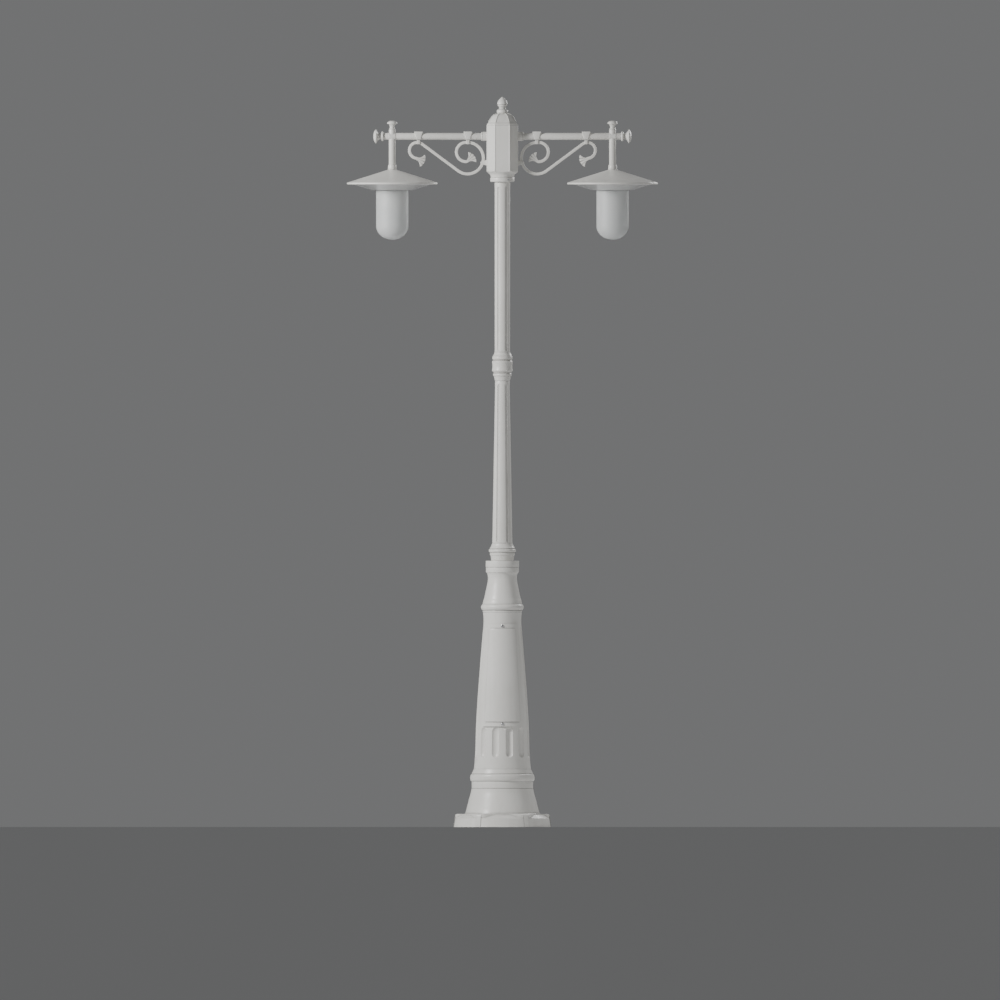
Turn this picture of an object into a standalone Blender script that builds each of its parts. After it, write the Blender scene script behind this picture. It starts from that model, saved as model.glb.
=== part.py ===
"""Two-arm street lamp post: a lobed plinth, a fluted pedestal with an inspection door, a two-part
fluted column, an eight-sided hub and two arms with scrolls, shades and glass jars.

Metres, +Z up. The origin is on the ground at the middle of the column, and the door faces -Y."""

import math

import bmesh
import bpy
from mathutils import Matrix

for old in list(bpy.data.objects):
    bpy.data.objects.remove(old, do_unlink=True)

# ---- general ----
GAP = 0.0003  # between pieces that touch
MERGE = 0.000001
SMALL_SIDES = 10
MIDDLE_SIDES = 16
LARGE_SIDES = 24

# ---- base plinth ----
PLINTH_RADIUS = 0.1536
PLINTH_HEIGHT = 0.041
PLINTH_RIM_HEIGHT = 0.027
PLINTH_BATTER = 0.0045  # how far the rim leans in
LOBES = 6
LOBE_GAP = math.radians(6)
FOOT_RADIUS = 0.1169
FOOT_TOP_RADIUS = 0.0966
FOOT_HEIGHT = 0.080
BAND_HEIGHT = 0.022
FLOOR_THICKNESS = 0.012
FLOOR_HOLE_RADIUS = 0.068
CASTING_WALL = 0.006

# ---- anchor bolts, on a circle inside the foot ----
ANCHOR_COUNT = 4
ANCHOR_CIRCLE_RADIUS = 0.088
ANCHOR_RADIUS = 0.006
ANCHOR_HOLE_RADIUS = 0.007
ANCHOR_LENGTH = 0.044
ANCHOR_NUT_RADIUS = 0.0105
ANCHOR_NUT_HEIGHT = 0.010
WASHER_RADIUS = 0.012
WASHER_THICKNESS = 0.0025

# ---- pedestal ----
PEDESTAL_HEIGHT = 0.533
BEAD_HEIGHT = 0.0236
BEAD_RADIUS = 0.1014
BODY_START = 0.040  # above the base, where the bead and the bevel end
BODY_FOOT_RADIUS = 0.0896
BODY_HEAD_RADIUS = 0.0593
BODY_LIP_RADIUS = 0.0609
BODY_BULGE = 0.0035
BODY_SPREAD = 0.0026  # extra radius where the body meets the bevel
BODY_STEP = 0.0016  # allowance under the flare, so that the taper starts fair
BODY_SPREAD_HEIGHT = 0.055
FLUTES = 12
FLUTE_ANGLE = math.radians(16)
FLUTE_DEPTH = 0.0028
FLUTE_START = 0.071  # above the base
FLUTE_END = 0.497
FLUTE_CROSS = 3  # points across one flute
FLUTE_UNDER_DOOR = 0.0055

# ---- inspection door ----
DOOR_BOTTOM = 0.1737  # above the base
DOOR_TOP = 0.497
DOOR_BOTTOM_HALF_WIDTH = 0.0643
DOOR_TOP_HALF_WIDTH = 0.0475
DOOR_BORDER = 0.0148
DOOR_SIDE_BORDER = 0.0075
DOOR_THICKNESS = 0.0028
DOOR_RELIEF = 0.0020
DOOR_FACETS = 10
PANEL_BEVEL = 0.0012
GASKET_THICKNESS = 0.0014
OPENING_BORDER = 0.0135
SCREW_HEAD_RADIUS = 0.0050
SCREW_HEAD_HEIGHT = 0.0028
SCREW_RADIUS = 0.0020
SCREW_HOLE_RADIUS = 0.0026
SCREW_LENGTH = 0.014

# ---- wiring tray behind the door ----
TRAY_HALF_WIDTH = 0.024
TRAY_BOTTOM = 0.215  # above the base
TRAY_HEIGHT = 0.170
TRAY_THICKNESS = 0.0025
TRAY_PLACE_Y = 0.012
TERMINAL_SIZE = (0.042, 0.022, 0.030)
TERMINAL_WAYS = 4
FUSE_SIZE = (0.026, 0.034, 0.060)
EARTH_RADIUS = 0.004

# ---- pedestal cap: ring, neck and drum ----
CAP_HEIGHT = 0.1622
CAP_RING_RADIUS = 0.0618
CAP_BEAD_RADIUS = 0.0675
CAP_NECK_RADIUS = 0.0453
CAP_DRUM_RADIUS = 0.0524
CAP_DRUM_HEIGHT = 0.0365

# ---- lower capital and lower shaft ----
CAPITAL_HEIGHT = 0.0552
CAPITAL_BEAD_RADIUS = 0.0428
SHAFT_FOOT_RADIUS = 0.0318
SHAFT_HEAD_RADIUS = 0.0230
SHAFT_LENGTH = 0.511
SHAFT_BORE_RADIUS = 0.0185
SHAFT_TENON_RADIUS = 0.0275
SHAFT_TENON_LENGTH = 0.060
SHAFT_FLUTES = 6
SHAFT_FLUTE_WIDTH = 0.0105
SHAFT_FLUTE_DEPTH = 0.0024
SHAFT_FLUTE_MARGIN = 0.006

# ---- coupling between the shafts ----
COUPLING_HEIGHT = 0.091
COUPLING_RADIUS = 0.0327
SLEEVE_LENGTH = 0.210
SLEEVE_WALL = 0.003

# ---- upper shaft and pole collar ----
UPPER_SHAFT_RADIUS = 0.0245
UPPER_SHAFT_LENGTH = 0.536
UPPER_FLUTE_MARGIN = 0.010
COLLAR_RADIUS = 0.0381
COLLAR_HEIGHT = 0.0145
SET_SCREWS = 2
SET_SCREW_RADIUS = 0.0030
SET_SCREW_FIRST = math.radians(30)  # from the front, towards +X
SPIGOT_LENGTH = 0.050

# ---- hub ----
HUB_HALF_WIDTH = 0.0487
HUB_FACE_HALF_WIDTH = 0.0236
HUB_FOOT_RADIUS = 0.0366
HUB_FOOT_HEIGHT = 0.0165
HUB_HEIGHT = 0.1730
HUB_CORNICE_HEIGHT = 0.010
HUB_RIM_HALF_WIDTH = 0.0439
HUB_WALL = 0.005
HUB_FLOOR_HEIGHT = 0.034
HUB_CORNER_BEAD = 0.0026
DOME_HEIGHT = 0.0273
DOME_NECK_RADIUS = 0.0145
FINIAL_HEIGHT = 0.0529
FINIAL_RADIUS = 0.0179
FINIAL_STUD_RADIUS = 0.004

# ---- arms ----
ARM_RADIUS = 0.01065
ARM_WALL = 0.0026
ARM_REACH = 0.347  # column axis to lamp axis
ARM_HEIGHT = 0.1287  # above the hub's foot
ARM_OVERHANG = 0.026  # tube beyond the lamp axis
ARM_COLLAR_WALL = 0.00335
ARM_COLLAR_LENGTH = 0.0175
END_BEAD_RADIUS = 0.0155
END_DISC_RADIUS = 0.0218
END_LENGTH = 0.0333
END_SPIGOT_LENGTH = 0.012

# ---- stem ----
STEM_DROP = 0.118  # from the arm's axis to the stem's lower end
STEM_RISE = 0.0212
STEM_CAP_RADIUS = 0.0159
STEM_CAP_HEIGHT = 0.0280
WIRE_HOLE_RADIUS = 0.006

# ---- scroll ----
BAR_WIDTH = 0.0090
BAR_THICKNESS = 0.0080
CURL_TOP = 0.0192  # scroll's middle line below the arm's axis
OUTER_CURL_RADIUS = 0.0250
OUTER_CURL_INSET = 0.0791  # in from the lamp axis
ARC_RADIUS = 0.0496
ARC_INSET = 0.0609  # out from the hub's face
INNER_CURL_RADIUS = 0.0302
INNER_CURL_SHIFT = 0.0051
CURL_STEP = math.radians(20)
LEAF_LENGTH = 0.0300
LEAF_HALF_WIDTH = 0.0202
LEAF_SCALLOPS = 4
LEAF_SCALLOP_DEPTH = 0.0012
OUTER_LEAF_TURN = math.radians(-12)
INNER_LEAF_TURN = math.radians(34)

# ---- clamps and lugs ----
CLAMP_CROWN = 0.00455  # above the tube
CLAMP_TOP_HALF_WIDTH = 0.0136
CLAMP_WAIST_HALF_WIDTH = 0.0075
CLAMP_NECK_HALF_WIDTH = 0.0050
CLAMP_WALL = 0.0022
CLAMP_WAIST_INSET = 0.00315  # half-depth inside the tube's radius
FORK_WALL = 0.0030
OUTER_CLAMP_INSET = 0.083
LUG_HALF_HEIGHT = 0.0088
LUG_TIP_HALF_HEIGHT = 0.0030
LUG_LENGTH = 0.0206
LUG_DROP = 0.0141  # below the large arc's centre

# ---- lamp head ----
CUP_WALL = 0.00315
CUP_HEIGHT = 0.0153
SHADE_RADIUS = 0.1430
SHADE_FALL = 0.0407
SHADE_RIM_HEIGHT = 0.0059
SHADE_RIM_WIDTH = 0.0050
SHADE_WALL = 0.0020
SHADE_TOP_DROP = 0.1051  # arm's axis to the shade's top
DISH_RADIUS = 0.1229
DISH_LEDGE = 0.0133  # flat floor outside the jar
DISH_DEPTH = 0.0177
DISH_WALL = 0.0018
GLASS_RADIUS = 0.0507
GLASS_WALL = 0.0030
GLASS_STRAIGHT = 0.113
GLASS_DOME = 0.0431
GLASS_NECK = 0.016
GALLERY_WALL = 0.0045
GALLERY_LIP = 0.0060
GALLERY_LIP_THICKNESS = 0.0020
GASKET_HEIGHT = 0.0020
HOLDER_RADIUS = 0.0200
HOLDER_HEIGHT = 0.046
HOLDER_BORE_RADIUS = 0.0142
HOLDER_BORE_DEPTH = 0.036
BULB_RADIUS = 0.0300
BULB_LENGTH = 0.108
BULB_CAP_RADIUS = 0.0132
BULB_CAP_LENGTH = 0.031

# ---- sizes that follow from the ones above ----
ARM_COLLAR_RADIUS = ARM_RADIUS + ARM_COLLAR_WALL
CUP_RADIUS = ARM_RADIUS + CUP_WALL
CLAMP_TOP = ARM_RADIUS + CLAMP_CROWN
DISH_FLAT_RADIUS = GLASS_RADIUS + DISH_LEDGE

# ---- levels, from the ground up ----
BASE_TOP = PLINTH_HEIGHT + FOOT_HEIGHT + BAND_HEIGHT
PEDESTAL_TOP = BASE_TOP + PEDESTAL_HEIGHT
CAP_TOP = PEDESTAL_TOP + CAP_HEIGHT + GAP
SHAFT_START = CAP_TOP + CAPITAL_HEIGHT + GAP
SHAFT_TOP = SHAFT_START + SHAFT_LENGTH
COUPLING_TOP = SHAFT_TOP + COUPLING_HEIGHT
UPPER_TOP = COUPLING_TOP + UPPER_SHAFT_LENGTH
HUB_FOOT = UPPER_TOP + COLLAR_HEIGHT + GAP
DOME_FOOT = HUB_FOOT + HUB_HEIGHT
FINIAL_FOOT = DOME_FOOT + DOME_HEIGHT
ARM_LEVEL = HUB_FOOT + ARM_HEIGHT

# ---- places in an arm's own frame: X outwards from the column axis, Z from the arm's axis ----
HUB_FACE = HUB_HALF_WIDTH
SHADE_TOP = -SHADE_TOP_DROP
SHADE_RIM = SHADE_TOP - SHADE_FALL
DISH_LEVEL = SHADE_RIM - SHADE_RIM_HEIGHT
DISH_FLOOR = DISH_LEVEL - DISH_DEPTH
GLASS_TOP = DISH_FLOOR + DISH_WALL + GLASS_NECK
HOLDER_TOP = -STEM_DROP - GAP
HOLDER_MOUTH = HOLDER_TOP - HOLDER_HEIGHT
BULB_TOP = HOLDER_MOUTH + HOLDER_BORE_DEPTH - 0.004
SCROLL_LEVEL = -CURL_TOP


def material(name, colour, roughness, metallic):
    """A plain coat, metal or glass for one kind of piece."""
    made = bpy.data.materials.new(name)
    made.use_nodes = True
    shader = made.node_tree.nodes["Principled BSDF"]
    shader.inputs["Base Color"].default_value = (*colour, 1)
    shader.inputs["Roughness"].default_value = roughness
    shader.inputs["Metallic"].default_value = metallic
    made.diffuse_color = (*colour, 1)
    return made


def add_object(name, mesh, finish, parent=None, place=Matrix()):
    """Makes a named object of a bmesh, with round stretches shaded smooth."""
    bmesh.ops.remove_doubles(mesh, verts=mesh.verts, dist=MERGE)
    bmesh.ops.recalc_face_normals(mesh, faces=mesh.faces)
    data = bpy.data.meshes.new(name)
    mesh.to_mesh(data)
    mesh.free()
    data.shade_smooth()
    data.set_sharp_from_angle(angle=math.radians(35))
    made = bpy.data.objects.new(name, data)
    bpy.context.scene.collection.objects.link(made)
    if finish:
        data.materials.append(finish)
    made.parent = parent
    made.matrix_local = place
    return made


def turned(name, outline, sides, finish, parent=None, place=Matrix()):
    """A lathe-turned piece. Its outline is (radius, height) points, spun round +Z."""
    mesh = bmesh.new()
    points = [mesh.verts.new((radius, 0, height)) for radius, height in outline]
    edges = [mesh.edges.new(pair) for pair in zip(points, points[1:])]
    if outline[0][0] > 0:
        edges.append(mesh.edges.new((points[-1], points[0])))
    bmesh.ops.spin(mesh, geom=points + edges, axis=(0, 0, 1), angle=math.tau, steps=sides)
    return add_object(name, mesh, finish, parent, place)


def skinned(name, rings, loop, finish, parent=None, place=Matrix()):
    """A skin over rings of equally many points. It loops back on itself, or its ends are capped."""
    mesh = bmesh.new()
    rows = [[mesh.verts.new(point) for point in ring] for ring in rings]
    pairs = list(zip(rows, rows[1:]))
    if loop:
        pairs.append((rows[-1], rows[0]))
    for low, high in pairs:
        for here in range(len(low)):
            after = (here + 1) % len(low)
            mesh.faces.new((low[here], low[after], high[after], high[here]))
    if not loop:
        mesh.faces.new(rows[0])
        mesh.faces.new(rows[-1])
    return add_object(name, mesh, finish, parent, place)


def boxed(name, boxes, finish, parent=None, place=Matrix()):
    """One or more boxes, each given by its lowest and highest corner, made into one body."""
    made = None
    for number, (low, high) in enumerate(boxes):
        mesh = bmesh.new()
        bmesh.ops.create_cube(mesh, size=1)
        for vert in mesh.verts:
            vert.co = [low[a] + (vert.co[a] + 0.5) * (high[a] - low[a]) for a in range(3)]
        if made is None:
            made = add_object(name, mesh, finish, parent, place)
        else:
            combine(made, add_object(f"{name}_add_{number}", mesh, None, parent, place), "UNION")
    return made


def combine(target, tool, operation="DIFFERENCE"):
    """Cuts a hidden tool out of a piece, or joins it on."""
    tool.hide_render = True
    tool.display_type = "WIRE"
    modifier = target.modifiers.new(operation.title(), "BOOLEAN")
    modifier.operation = operation
    modifier.object = tool


def rod(name, radius, start, end, sides, finish, parent=None, place=Matrix()):
    """A plain round rod along its own +Z."""
    outline = [(0, start), (radius, start), (radius, end), (0, end)]
    return turned(name, outline, sides, finish, parent, place)


def bead(root, crest, low, high, steps=3):
    """Points of a half-round bead from one height to another."""
    half = (high - low) / 2
    angles = [math.pi * step / steps for step in range(steps + 1)]
    return [(root + (crest - root) * math.sin(a), low + half * (1 - math.cos(a))) for a in angles]


def clear_of(radius, sides=MIDDLE_SIDES):
    """Radius of a faceted bore whose flats still clear a round piece of this radius."""
    return (radius + GAP) / math.cos(math.pi / sides)


def circle_ring(angles, radius, height):
    return [(radius * math.sin(a), -radius * math.cos(a), height) for a in angles]


def turn(angle):
    return Matrix.Rotation(angle, 4, "Z")


def move(x=0.0, y=0.0, z=0.0):
    return Matrix.Translation((x, y, z))


ALONG_X = Matrix.Rotation(math.pi / 2, 4, "Y")
ALONG_MINUS_Y = Matrix.Rotation(math.pi / 2, 4, "X")

COAT = material("powder_coat", (0.78, 0.77, 0.73), 0.38, 0.0)
STEEL = material("stainless_steel", (0.62, 0.62, 0.63), 0.30, 1.0)
ZINC = material("zinc_plate", (0.55, 0.56, 0.58), 0.40, 1.0)
RUBBER = material("rubber_seal", (0.03, 0.03, 0.03), 0.80, 0.0)
CERAMIC = material("ceramic", (0.86, 0.84, 0.79), 0.25, 0.0)
MOULDED = material("moulded_plastic", (0.72, 0.72, 0.70), 0.45, 0.0)
ENAMEL = material("white_enamel", (0.88, 0.88, 0.86), 0.20, 0.0)
FROSTED_GLASS = material("frosted_glass", (0.93, 0.94, 0.93), 0.45, 0.0)
BULB_GLASS = material("bulb_glass", (0.95, 0.93, 0.86), 0.15, 0.0)


# ---- base plinth and its anchor bolts ----


def lobe_angles():
    """Angles round the plinth: six wide lobes with a narrow rib between each two."""
    angles = []
    rib = math.pi / LOBES
    for lobe in range(LOBES):
        middle = lobe * math.tau / LOBES
        edge = rib - LOBE_GAP / 2
        steps = [-edge, -edge * 0.88, -edge * 0.44, 0, edge * 0.44, edge * 0.88, edge]
        angles += [(middle + step, abs(step) < edge * 0.95) for step in steps]
    return angles


def lobed_ring(lobe_radius, lobe_height, rib_radius, rib_height):
    ring = []
    for angle, on_lobe in lobe_angles():
        radius = lobe_radius if on_lobe else rib_radius
        height = lobe_height if on_lobe else rib_height
        ring.append((radius * math.sin(angle), -radius * math.cos(angle), height))
    return ring


def base_plinth():
    """Round base casting: lobed rim, foot that curves in to a band, and an open floor."""
    rim = PLINTH_RADIUS - PLINTH_BATTER
    shoulder = PLINTH_RADIUS - 0.018
    angles = [angle for angle, _ in lobe_angles()]
    rings = [
        lobed_ring(PLINTH_RADIUS, 0, PLINTH_RADIUS, 0),
        lobed_ring(rim, PLINTH_RIM_HEIGHT, rim + 0.0008, PLINTH_HEIGHT - 0.007),
        lobed_ring(rim - 0.006, PLINTH_RIM_HEIGHT + 0.004, rim - 0.003, PLINTH_HEIGHT - 0.002),
        lobed_ring(shoulder, PLINTH_HEIGHT - 0.003, rim - 0.008, PLINTH_HEIGHT),
        circle_ring(angles, FOOT_RADIUS + 0.004, PLINTH_HEIGHT),
    ]
    for step in range(4):
        along = step / 3
        curve = FOOT_RADIUS + (FOOT_TOP_RADIUS - FOOT_RADIUS) * (along ** 0.85)
        rings.append(circle_ring(angles, curve, PLINTH_HEIGHT + 0.001 + (FOOT_HEIGHT - 0.001) * along))
    rings.append(circle_ring(angles, FOOT_TOP_RADIUS, BASE_TOP))
    wall_top = FOOT_TOP_RADIUS - CASTING_WALL
    rings += [
        circle_ring(angles, wall_top, BASE_TOP),
        circle_ring(angles, FOOT_RADIUS - CASTING_WALL, PLINTH_HEIGHT),
        circle_ring(angles, FOOT_RADIUS - CASTING_WALL, FLOOR_THICKNESS),
        circle_ring(angles, FLOOR_HOLE_RADIUS, FLOOR_THICKNESS),
        circle_ring(angles, FLOOR_HOLE_RADIUS, 0),
    ]
    base = skinned("base_plinth", rings, True, COAT)
    for number in range(ANCHOR_COUNT):
        place = turn((number + 0.5) * math.tau / ANCHOR_COUNT) @ move(ANCHOR_CIRCLE_RADIUS)
        hole = (ANCHOR_HOLE_RADIUS, -FLOOR_THICKNESS, 2 * FLOOR_THICKNESS, SMALL_SIDES)
        combine(base, rod(f"anchor_hole_{number + 1}", *hole, None, None, place))
        anchor_bolt(number + 1, place)


def anchor_bolt(number, place):
    """Threaded stud with its washer and hexagon nut, clamping the base's floor down."""
    washer = FLOOR_THICKNESS + GAP
    nut = washer + WASHER_THICKNESS
    nut_top = nut + ANCHOR_NUT_HEIGHT
    outline = [
        (0, GAP),
        (ANCHOR_RADIUS, GAP),
        (ANCHOR_RADIUS, washer),
        (WASHER_RADIUS, washer),
        (WASHER_RADIUS, nut),
        (ANCHOR_NUT_RADIUS, nut),
        (ANCHOR_NUT_RADIUS, nut_top),
        (ANCHOR_RADIUS, nut_top),
        (ANCHOR_RADIUS, ANCHOR_LENGTH),
        (0, ANCHOR_LENGTH),
    ]
    turned(f"anchor_bolt_{number}", outline, SMALL_SIDES, ZINC, None, place)


# ---- pedestal ----


def body_radius(height):
    """Radius of the pedestal's plain body at a height above the base's top: a slightly full taper."""
    lower = BODY_START + BODY_SPREAD_HEIGHT
    along = (height - lower) / (FLUTE_END - lower)
    foot = BODY_FOOT_RADIUS - BODY_SPREAD - BODY_STEP
    radius = foot + (BODY_HEAD_RADIUS - foot) * along
    if 0 < along < 1:
        radius += 4 * BODY_BULGE * along * (1 - along)
    if along <= 0:
        spread = -along * (FLUTE_END - lower) / BODY_SPREAD_HEIGHT
        radius = foot + (BODY_FOOT_RADIUS - foot) * spread ** 1.6
    if along >= 1:
        lip = (height - FLUTE_END) / (PEDESTAL_HEIGHT - FLUTE_END)
        radius = BODY_HEAD_RADIUS + (BODY_LIP_RADIUS - BODY_HEAD_RADIUS) * lip ** 2
    return radius


def fluted_ring(flutes, half_angle, first, radius, depths, height):
    """A ring with flutes. depths gives each flute's depth at this height."""
    ring = []
    pitch = math.tau / flutes
    for flute in range(flutes):
        middle = first + flute * pitch
        for step in range(FLUTE_CROSS):
            across = -1 + 2 * step / (FLUTE_CROSS - 1)
            depth = depths[flute] * math.sqrt(max(0, 1 - across**2))
            angle = middle + across * half_angle
            here = radius - depth
            ring.append((here * math.sin(angle), -here * math.cos(angle), height))
        angle = middle + pitch / 2
        ring.append((radius * math.sin(angle), -radius * math.cos(angle), height))
    return ring


def pedestal_flute_depths(height):
    """The flutes over the door stop just under its lower edge. The others run up to the head."""
    depths = []
    for flute in range(FLUTES):
        angle = (flute + 0.5) * math.tau / FLUTES
        in_front = math.cos(angle) > math.cos(math.radians(50))
        end = DOOR_BOTTOM + FLUTE_UNDER_DOOR - 0.0005 if in_front else FLUTE_END
        inside = FLUTE_START < height < end
        depths.append(FLUTE_DEPTH if inside else 0)
    return depths


def pedestal_body():
    """Hollow fluted casting with an opening behind the door and a thread for each door screw."""
    bevel_radius = FOOT_TOP_RADIUS
    first = math.pi / FLUTES
    none = [0] * FLUTES

    def plain(radius, height):
        return fluted_ring(FLUTES, FLUTE_ANGLE / 2, first, radius, none, BASE_TOP + height)

    rings = [plain(bevel_radius, GAP)]
    rings += [plain(*point) for point in bead(bevel_radius, BEAD_RADIUS, 2 * GAP, BEAD_HEIGHT)]
    rings += [plain(bevel_radius, BEAD_HEIGHT + 0.0014), plain(BODY_FOOT_RADIUS, BODY_START)]
    end = FLUTE_ANGLE / 2 * body_radius(FLUTE_START)
    heights = [
        FLUTE_START,
        FLUTE_START + end * 0.5,
        DOOR_BOTTOM + FLUTE_UNDER_DOOR - 0.001,
        DOOR_BOTTOM + FLUTE_UNDER_DOOR,
        (DOOR_BOTTOM + DOOR_TOP) / 2,
        FLUTE_END - end * 0.35,
        FLUTE_END,
        PEDESTAL_HEIGHT,
    ]
    for height in heights:
        depths = pedestal_flute_depths(height)
        ring = (FLUTE_ANGLE / 2, first, body_radius(height), depths, BASE_TOP + height)
        rings.append(fluted_ring(FLUTES, *ring))
    for height in (PEDESTAL_HEIGHT, FLUTE_END, (DOOR_BOTTOM + DOOR_TOP) / 2, FLUTE_START):
        rings.append(plain(body_radius(height) - CASTING_WALL, height))
    rings.append(plain(bevel_radius - CASTING_WALL, GAP))
    body = skinned("pedestal_body", rings, True, COAT)
    combine(body, door_opening())
    for name, height in screw_heights():
        place = move(0, 0, BASE_TOP + height) @ ALONG_MINUS_Y
        hole = (SCREW_HOLE_RADIUS, 0.03, BODY_FOOT_RADIUS + 0.01, SMALL_SIDES)
        combine(body, rod(f"thread_{name}", *hole, None, None, place))


# ---- inspection door ----


def door_half_width(height):
    along = (height - DOOR_BOTTOM) / (DOOR_TOP - DOOR_BOTTOM)
    return DOOR_BOTTOM_HALF_WIDTH + (DOOR_TOP_HALF_WIDTH - DOOR_BOTTOM_HALF_WIDTH) * along


def screw_heights():
    return [
        ("bottom", DOOR_BOTTOM + DOOR_BORDER / 2),
        ("top", DOOR_TOP - DOOR_BORDER / 2),
    ]


def door_opening():
    """The tool that opens the pedestal's front, a border narrower than the door all round."""
    rings = []
    for height in (DOOR_BOTTOM + OPENING_BORDER, DOOR_TOP - OPENING_BORDER):
        half = door_half_width(height) - OPENING_BORDER
        front, back = -BEAD_RADIUS, -0.02
        corners = [(-half, front), (half, front), (half, back), (-half, back)]
        rings.append([(x, y, BASE_TOP + height) for x, y in corners])
    return skinned("door_opening", rings, False, None)


def door_rows(has_panel):
    """Heights up the door, with whether each lies in the raised panel."""
    low, high = DOOR_BOTTOM, DOOR_TOP
    middle = (low + high) / 2
    if not has_panel:
        return [(low, False), (middle, False), (high, False)]
    panel_low, panel_high = low + DOOR_BORDER, high - DOOR_BORDER
    rows = [(low, False), (panel_low, False), (panel_low + PANEL_BEVEL, True), (middle, True)]
    return rows + [(panel_high - PANEL_BEVEL, True), (panel_high, False), (high, False)]


def door_columns():
    """Places across the door, -1 to 1 of its half-width, with whether each is in the panel."""
    edge = 1 - DOOR_SIDE_BORDER / DOOR_TOP_HALF_WIDTH
    inner = edge - PANEL_BEVEL / DOOR_TOP_HALF_WIDTH
    columns = [(-1, False), (-edge, False), (-inner, True)]
    columns += [(inner * (2 * step / DOOR_FACETS - 1), True) for step in range(1, DOOR_FACETS)]
    return columns + [(inner, True), (edge, False), (1, False)]


def curved_plate(name, inner_offset, outer_offset, relief, finish):
    """A plate that follows the pedestal's front, from one distance off its surface to another."""
    rings = []
    for height, row_in_panel in door_rows(relief > 0):
        ring_out, ring_in = [], []
        half_angle = math.asin(door_half_width(height) / (body_radius(height) + outer_offset))
        facet = half_angle / DOOR_FACETS
        for across, column_in_panel in door_columns():
            raised = relief if row_in_panel and column_in_panel else 0
            outer = body_radius(height) + outer_offset + raised
            inner = (body_radius(height) + inner_offset) / math.cos(facet)
            for ring, radius in ((ring_out, outer), (ring_in, inner)):
                angle = half_angle * across
                ring.append((radius * math.sin(angle), -radius * math.cos(angle), BASE_TOP + height))
        rings.append(ring_out + ring_in[::-1])
    return skinned(name, rings, False, finish)


def door():
    """Curved cover with a raised panel, its rubber frame and the two captive screws."""
    seal_top = GASKET_THICKNESS + GAP
    cover = curved_plate("door_cover", seal_top + GAP, seal_top + GAP + DOOR_THICKNESS, DOOR_RELIEF, COAT)
    seal = curved_plate("door_gasket", 2 * GAP, seal_top, 0, RUBBER)
    combine(seal, door_opening())
    for name, height in screw_heights():
        place = move(0, 0, BASE_TOP + height) @ ALONG_MINUS_Y
        reach = BODY_FOOT_RADIUS + 0.02
        for target in (cover, seal):
            hole = (SCREW_HOLE_RADIUS, 0.03, reach, SMALL_SIDES)
            combine(target, rod(f"{target.name}_hole_{name}", *hole, None, None, place))
        seat = body_radius(height) + seal_top + DOOR_THICKNESS + 3 * GAP
        outline = [
            (0, seat - SCREW_LENGTH),
            (SCREW_RADIUS, seat - SCREW_LENGTH),
            (SCREW_RADIUS, seat),
            (SCREW_HEAD_RADIUS, seat),
            (SCREW_HEAD_RADIUS, seat + SCREW_HEAD_HEIGHT * 0.5),
            (SCREW_HEAD_RADIUS * 0.7, seat + SCREW_HEAD_HEIGHT * 0.9),
            (0, seat + SCREW_HEAD_HEIGHT),
        ]
        turned(f"door_screw_{name}", outline, SMALL_SIDES, STEEL, None, place)


# ---- wiring tray ----


def wiring_tray():
    """Plate on two feet at the back wall, with the terminal block, fuse carrier and earth stud."""
    low, high = TRAY_BOTTOM, TRAY_BOTTOM + TRAY_HEIGHT
    front, back = TRAY_PLACE_Y, TRAY_PLACE_Y + TRAY_THICKNESS
    boxes = [((-TRAY_HALF_WIDTH, front, BASE_TOP + low), (TRAY_HALF_WIDTH, back, BASE_TOP + high))]
    for foot in (low + 0.02, high - 0.03):
        wall = (body_radius(foot + 0.005) - CASTING_WALL) * math.cos(math.pi / FLUTES / 2) - 0.0015
        foot_low = (-0.006, back - 0.001, BASE_TOP + foot)
        boxes.append((foot_low, (0.006, wall, BASE_TOP + foot + 0.010)))
    boxed("wiring_tray", boxes, ZINC)
    width, depth, height = TERMINAL_SIZE
    bottom = BASE_TOP + low + 0.028
    face = front - GAP
    corners = ((-width / 2, face - depth, bottom), (width / 2, face, bottom + height))
    block = boxed("terminal_block", [corners], MOULDED)
    pitch = width / TERMINAL_WAYS
    for way in range(TERMINAL_WAYS):
        centre = -width / 2 + (way + 0.5) * pitch
        half = pitch * 0.32
        slot_low = (centre - half, face - depth - 0.01, bottom + height * 0.60)
        slot = [(slot_low, (centre + half, face - depth * 0.45, bottom + height * 0.80))]
        combine(block, boxed(f"terminal_slot_{way + 1}", slot, None))
    width, depth, height = FUSE_SIZE
    bottom = BASE_TOP + high - 0.010 - height
    carrier = [
        ((-width / 2, face - depth * 0.7, bottom), (width / 2, face, bottom + height)),
        (
            (-width * 0.3, face - depth, bottom + height * 0.2),
            (width * 0.3, face - depth * 0.6, bottom + height * 0.8),
        ),
    ]
    boxed("fuse_carrier", carrier, MOULDED)
    place = move(0, front, BASE_TOP + low + 0.014) @ ALONG_MINUS_Y
    stud = [(0, GAP), (EARTH_RADIUS * 1.9, GAP), (EARTH_RADIUS * 1.9, 0.004), (EARTH_RADIUS, 0.004)]
    stud += [(EARTH_RADIUS, 0.014), (0, 0.014)]
    turned("earth_stud", stud, 12, ZINC, None, place)


# ---- pedestal cap and lower capital ----


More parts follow.
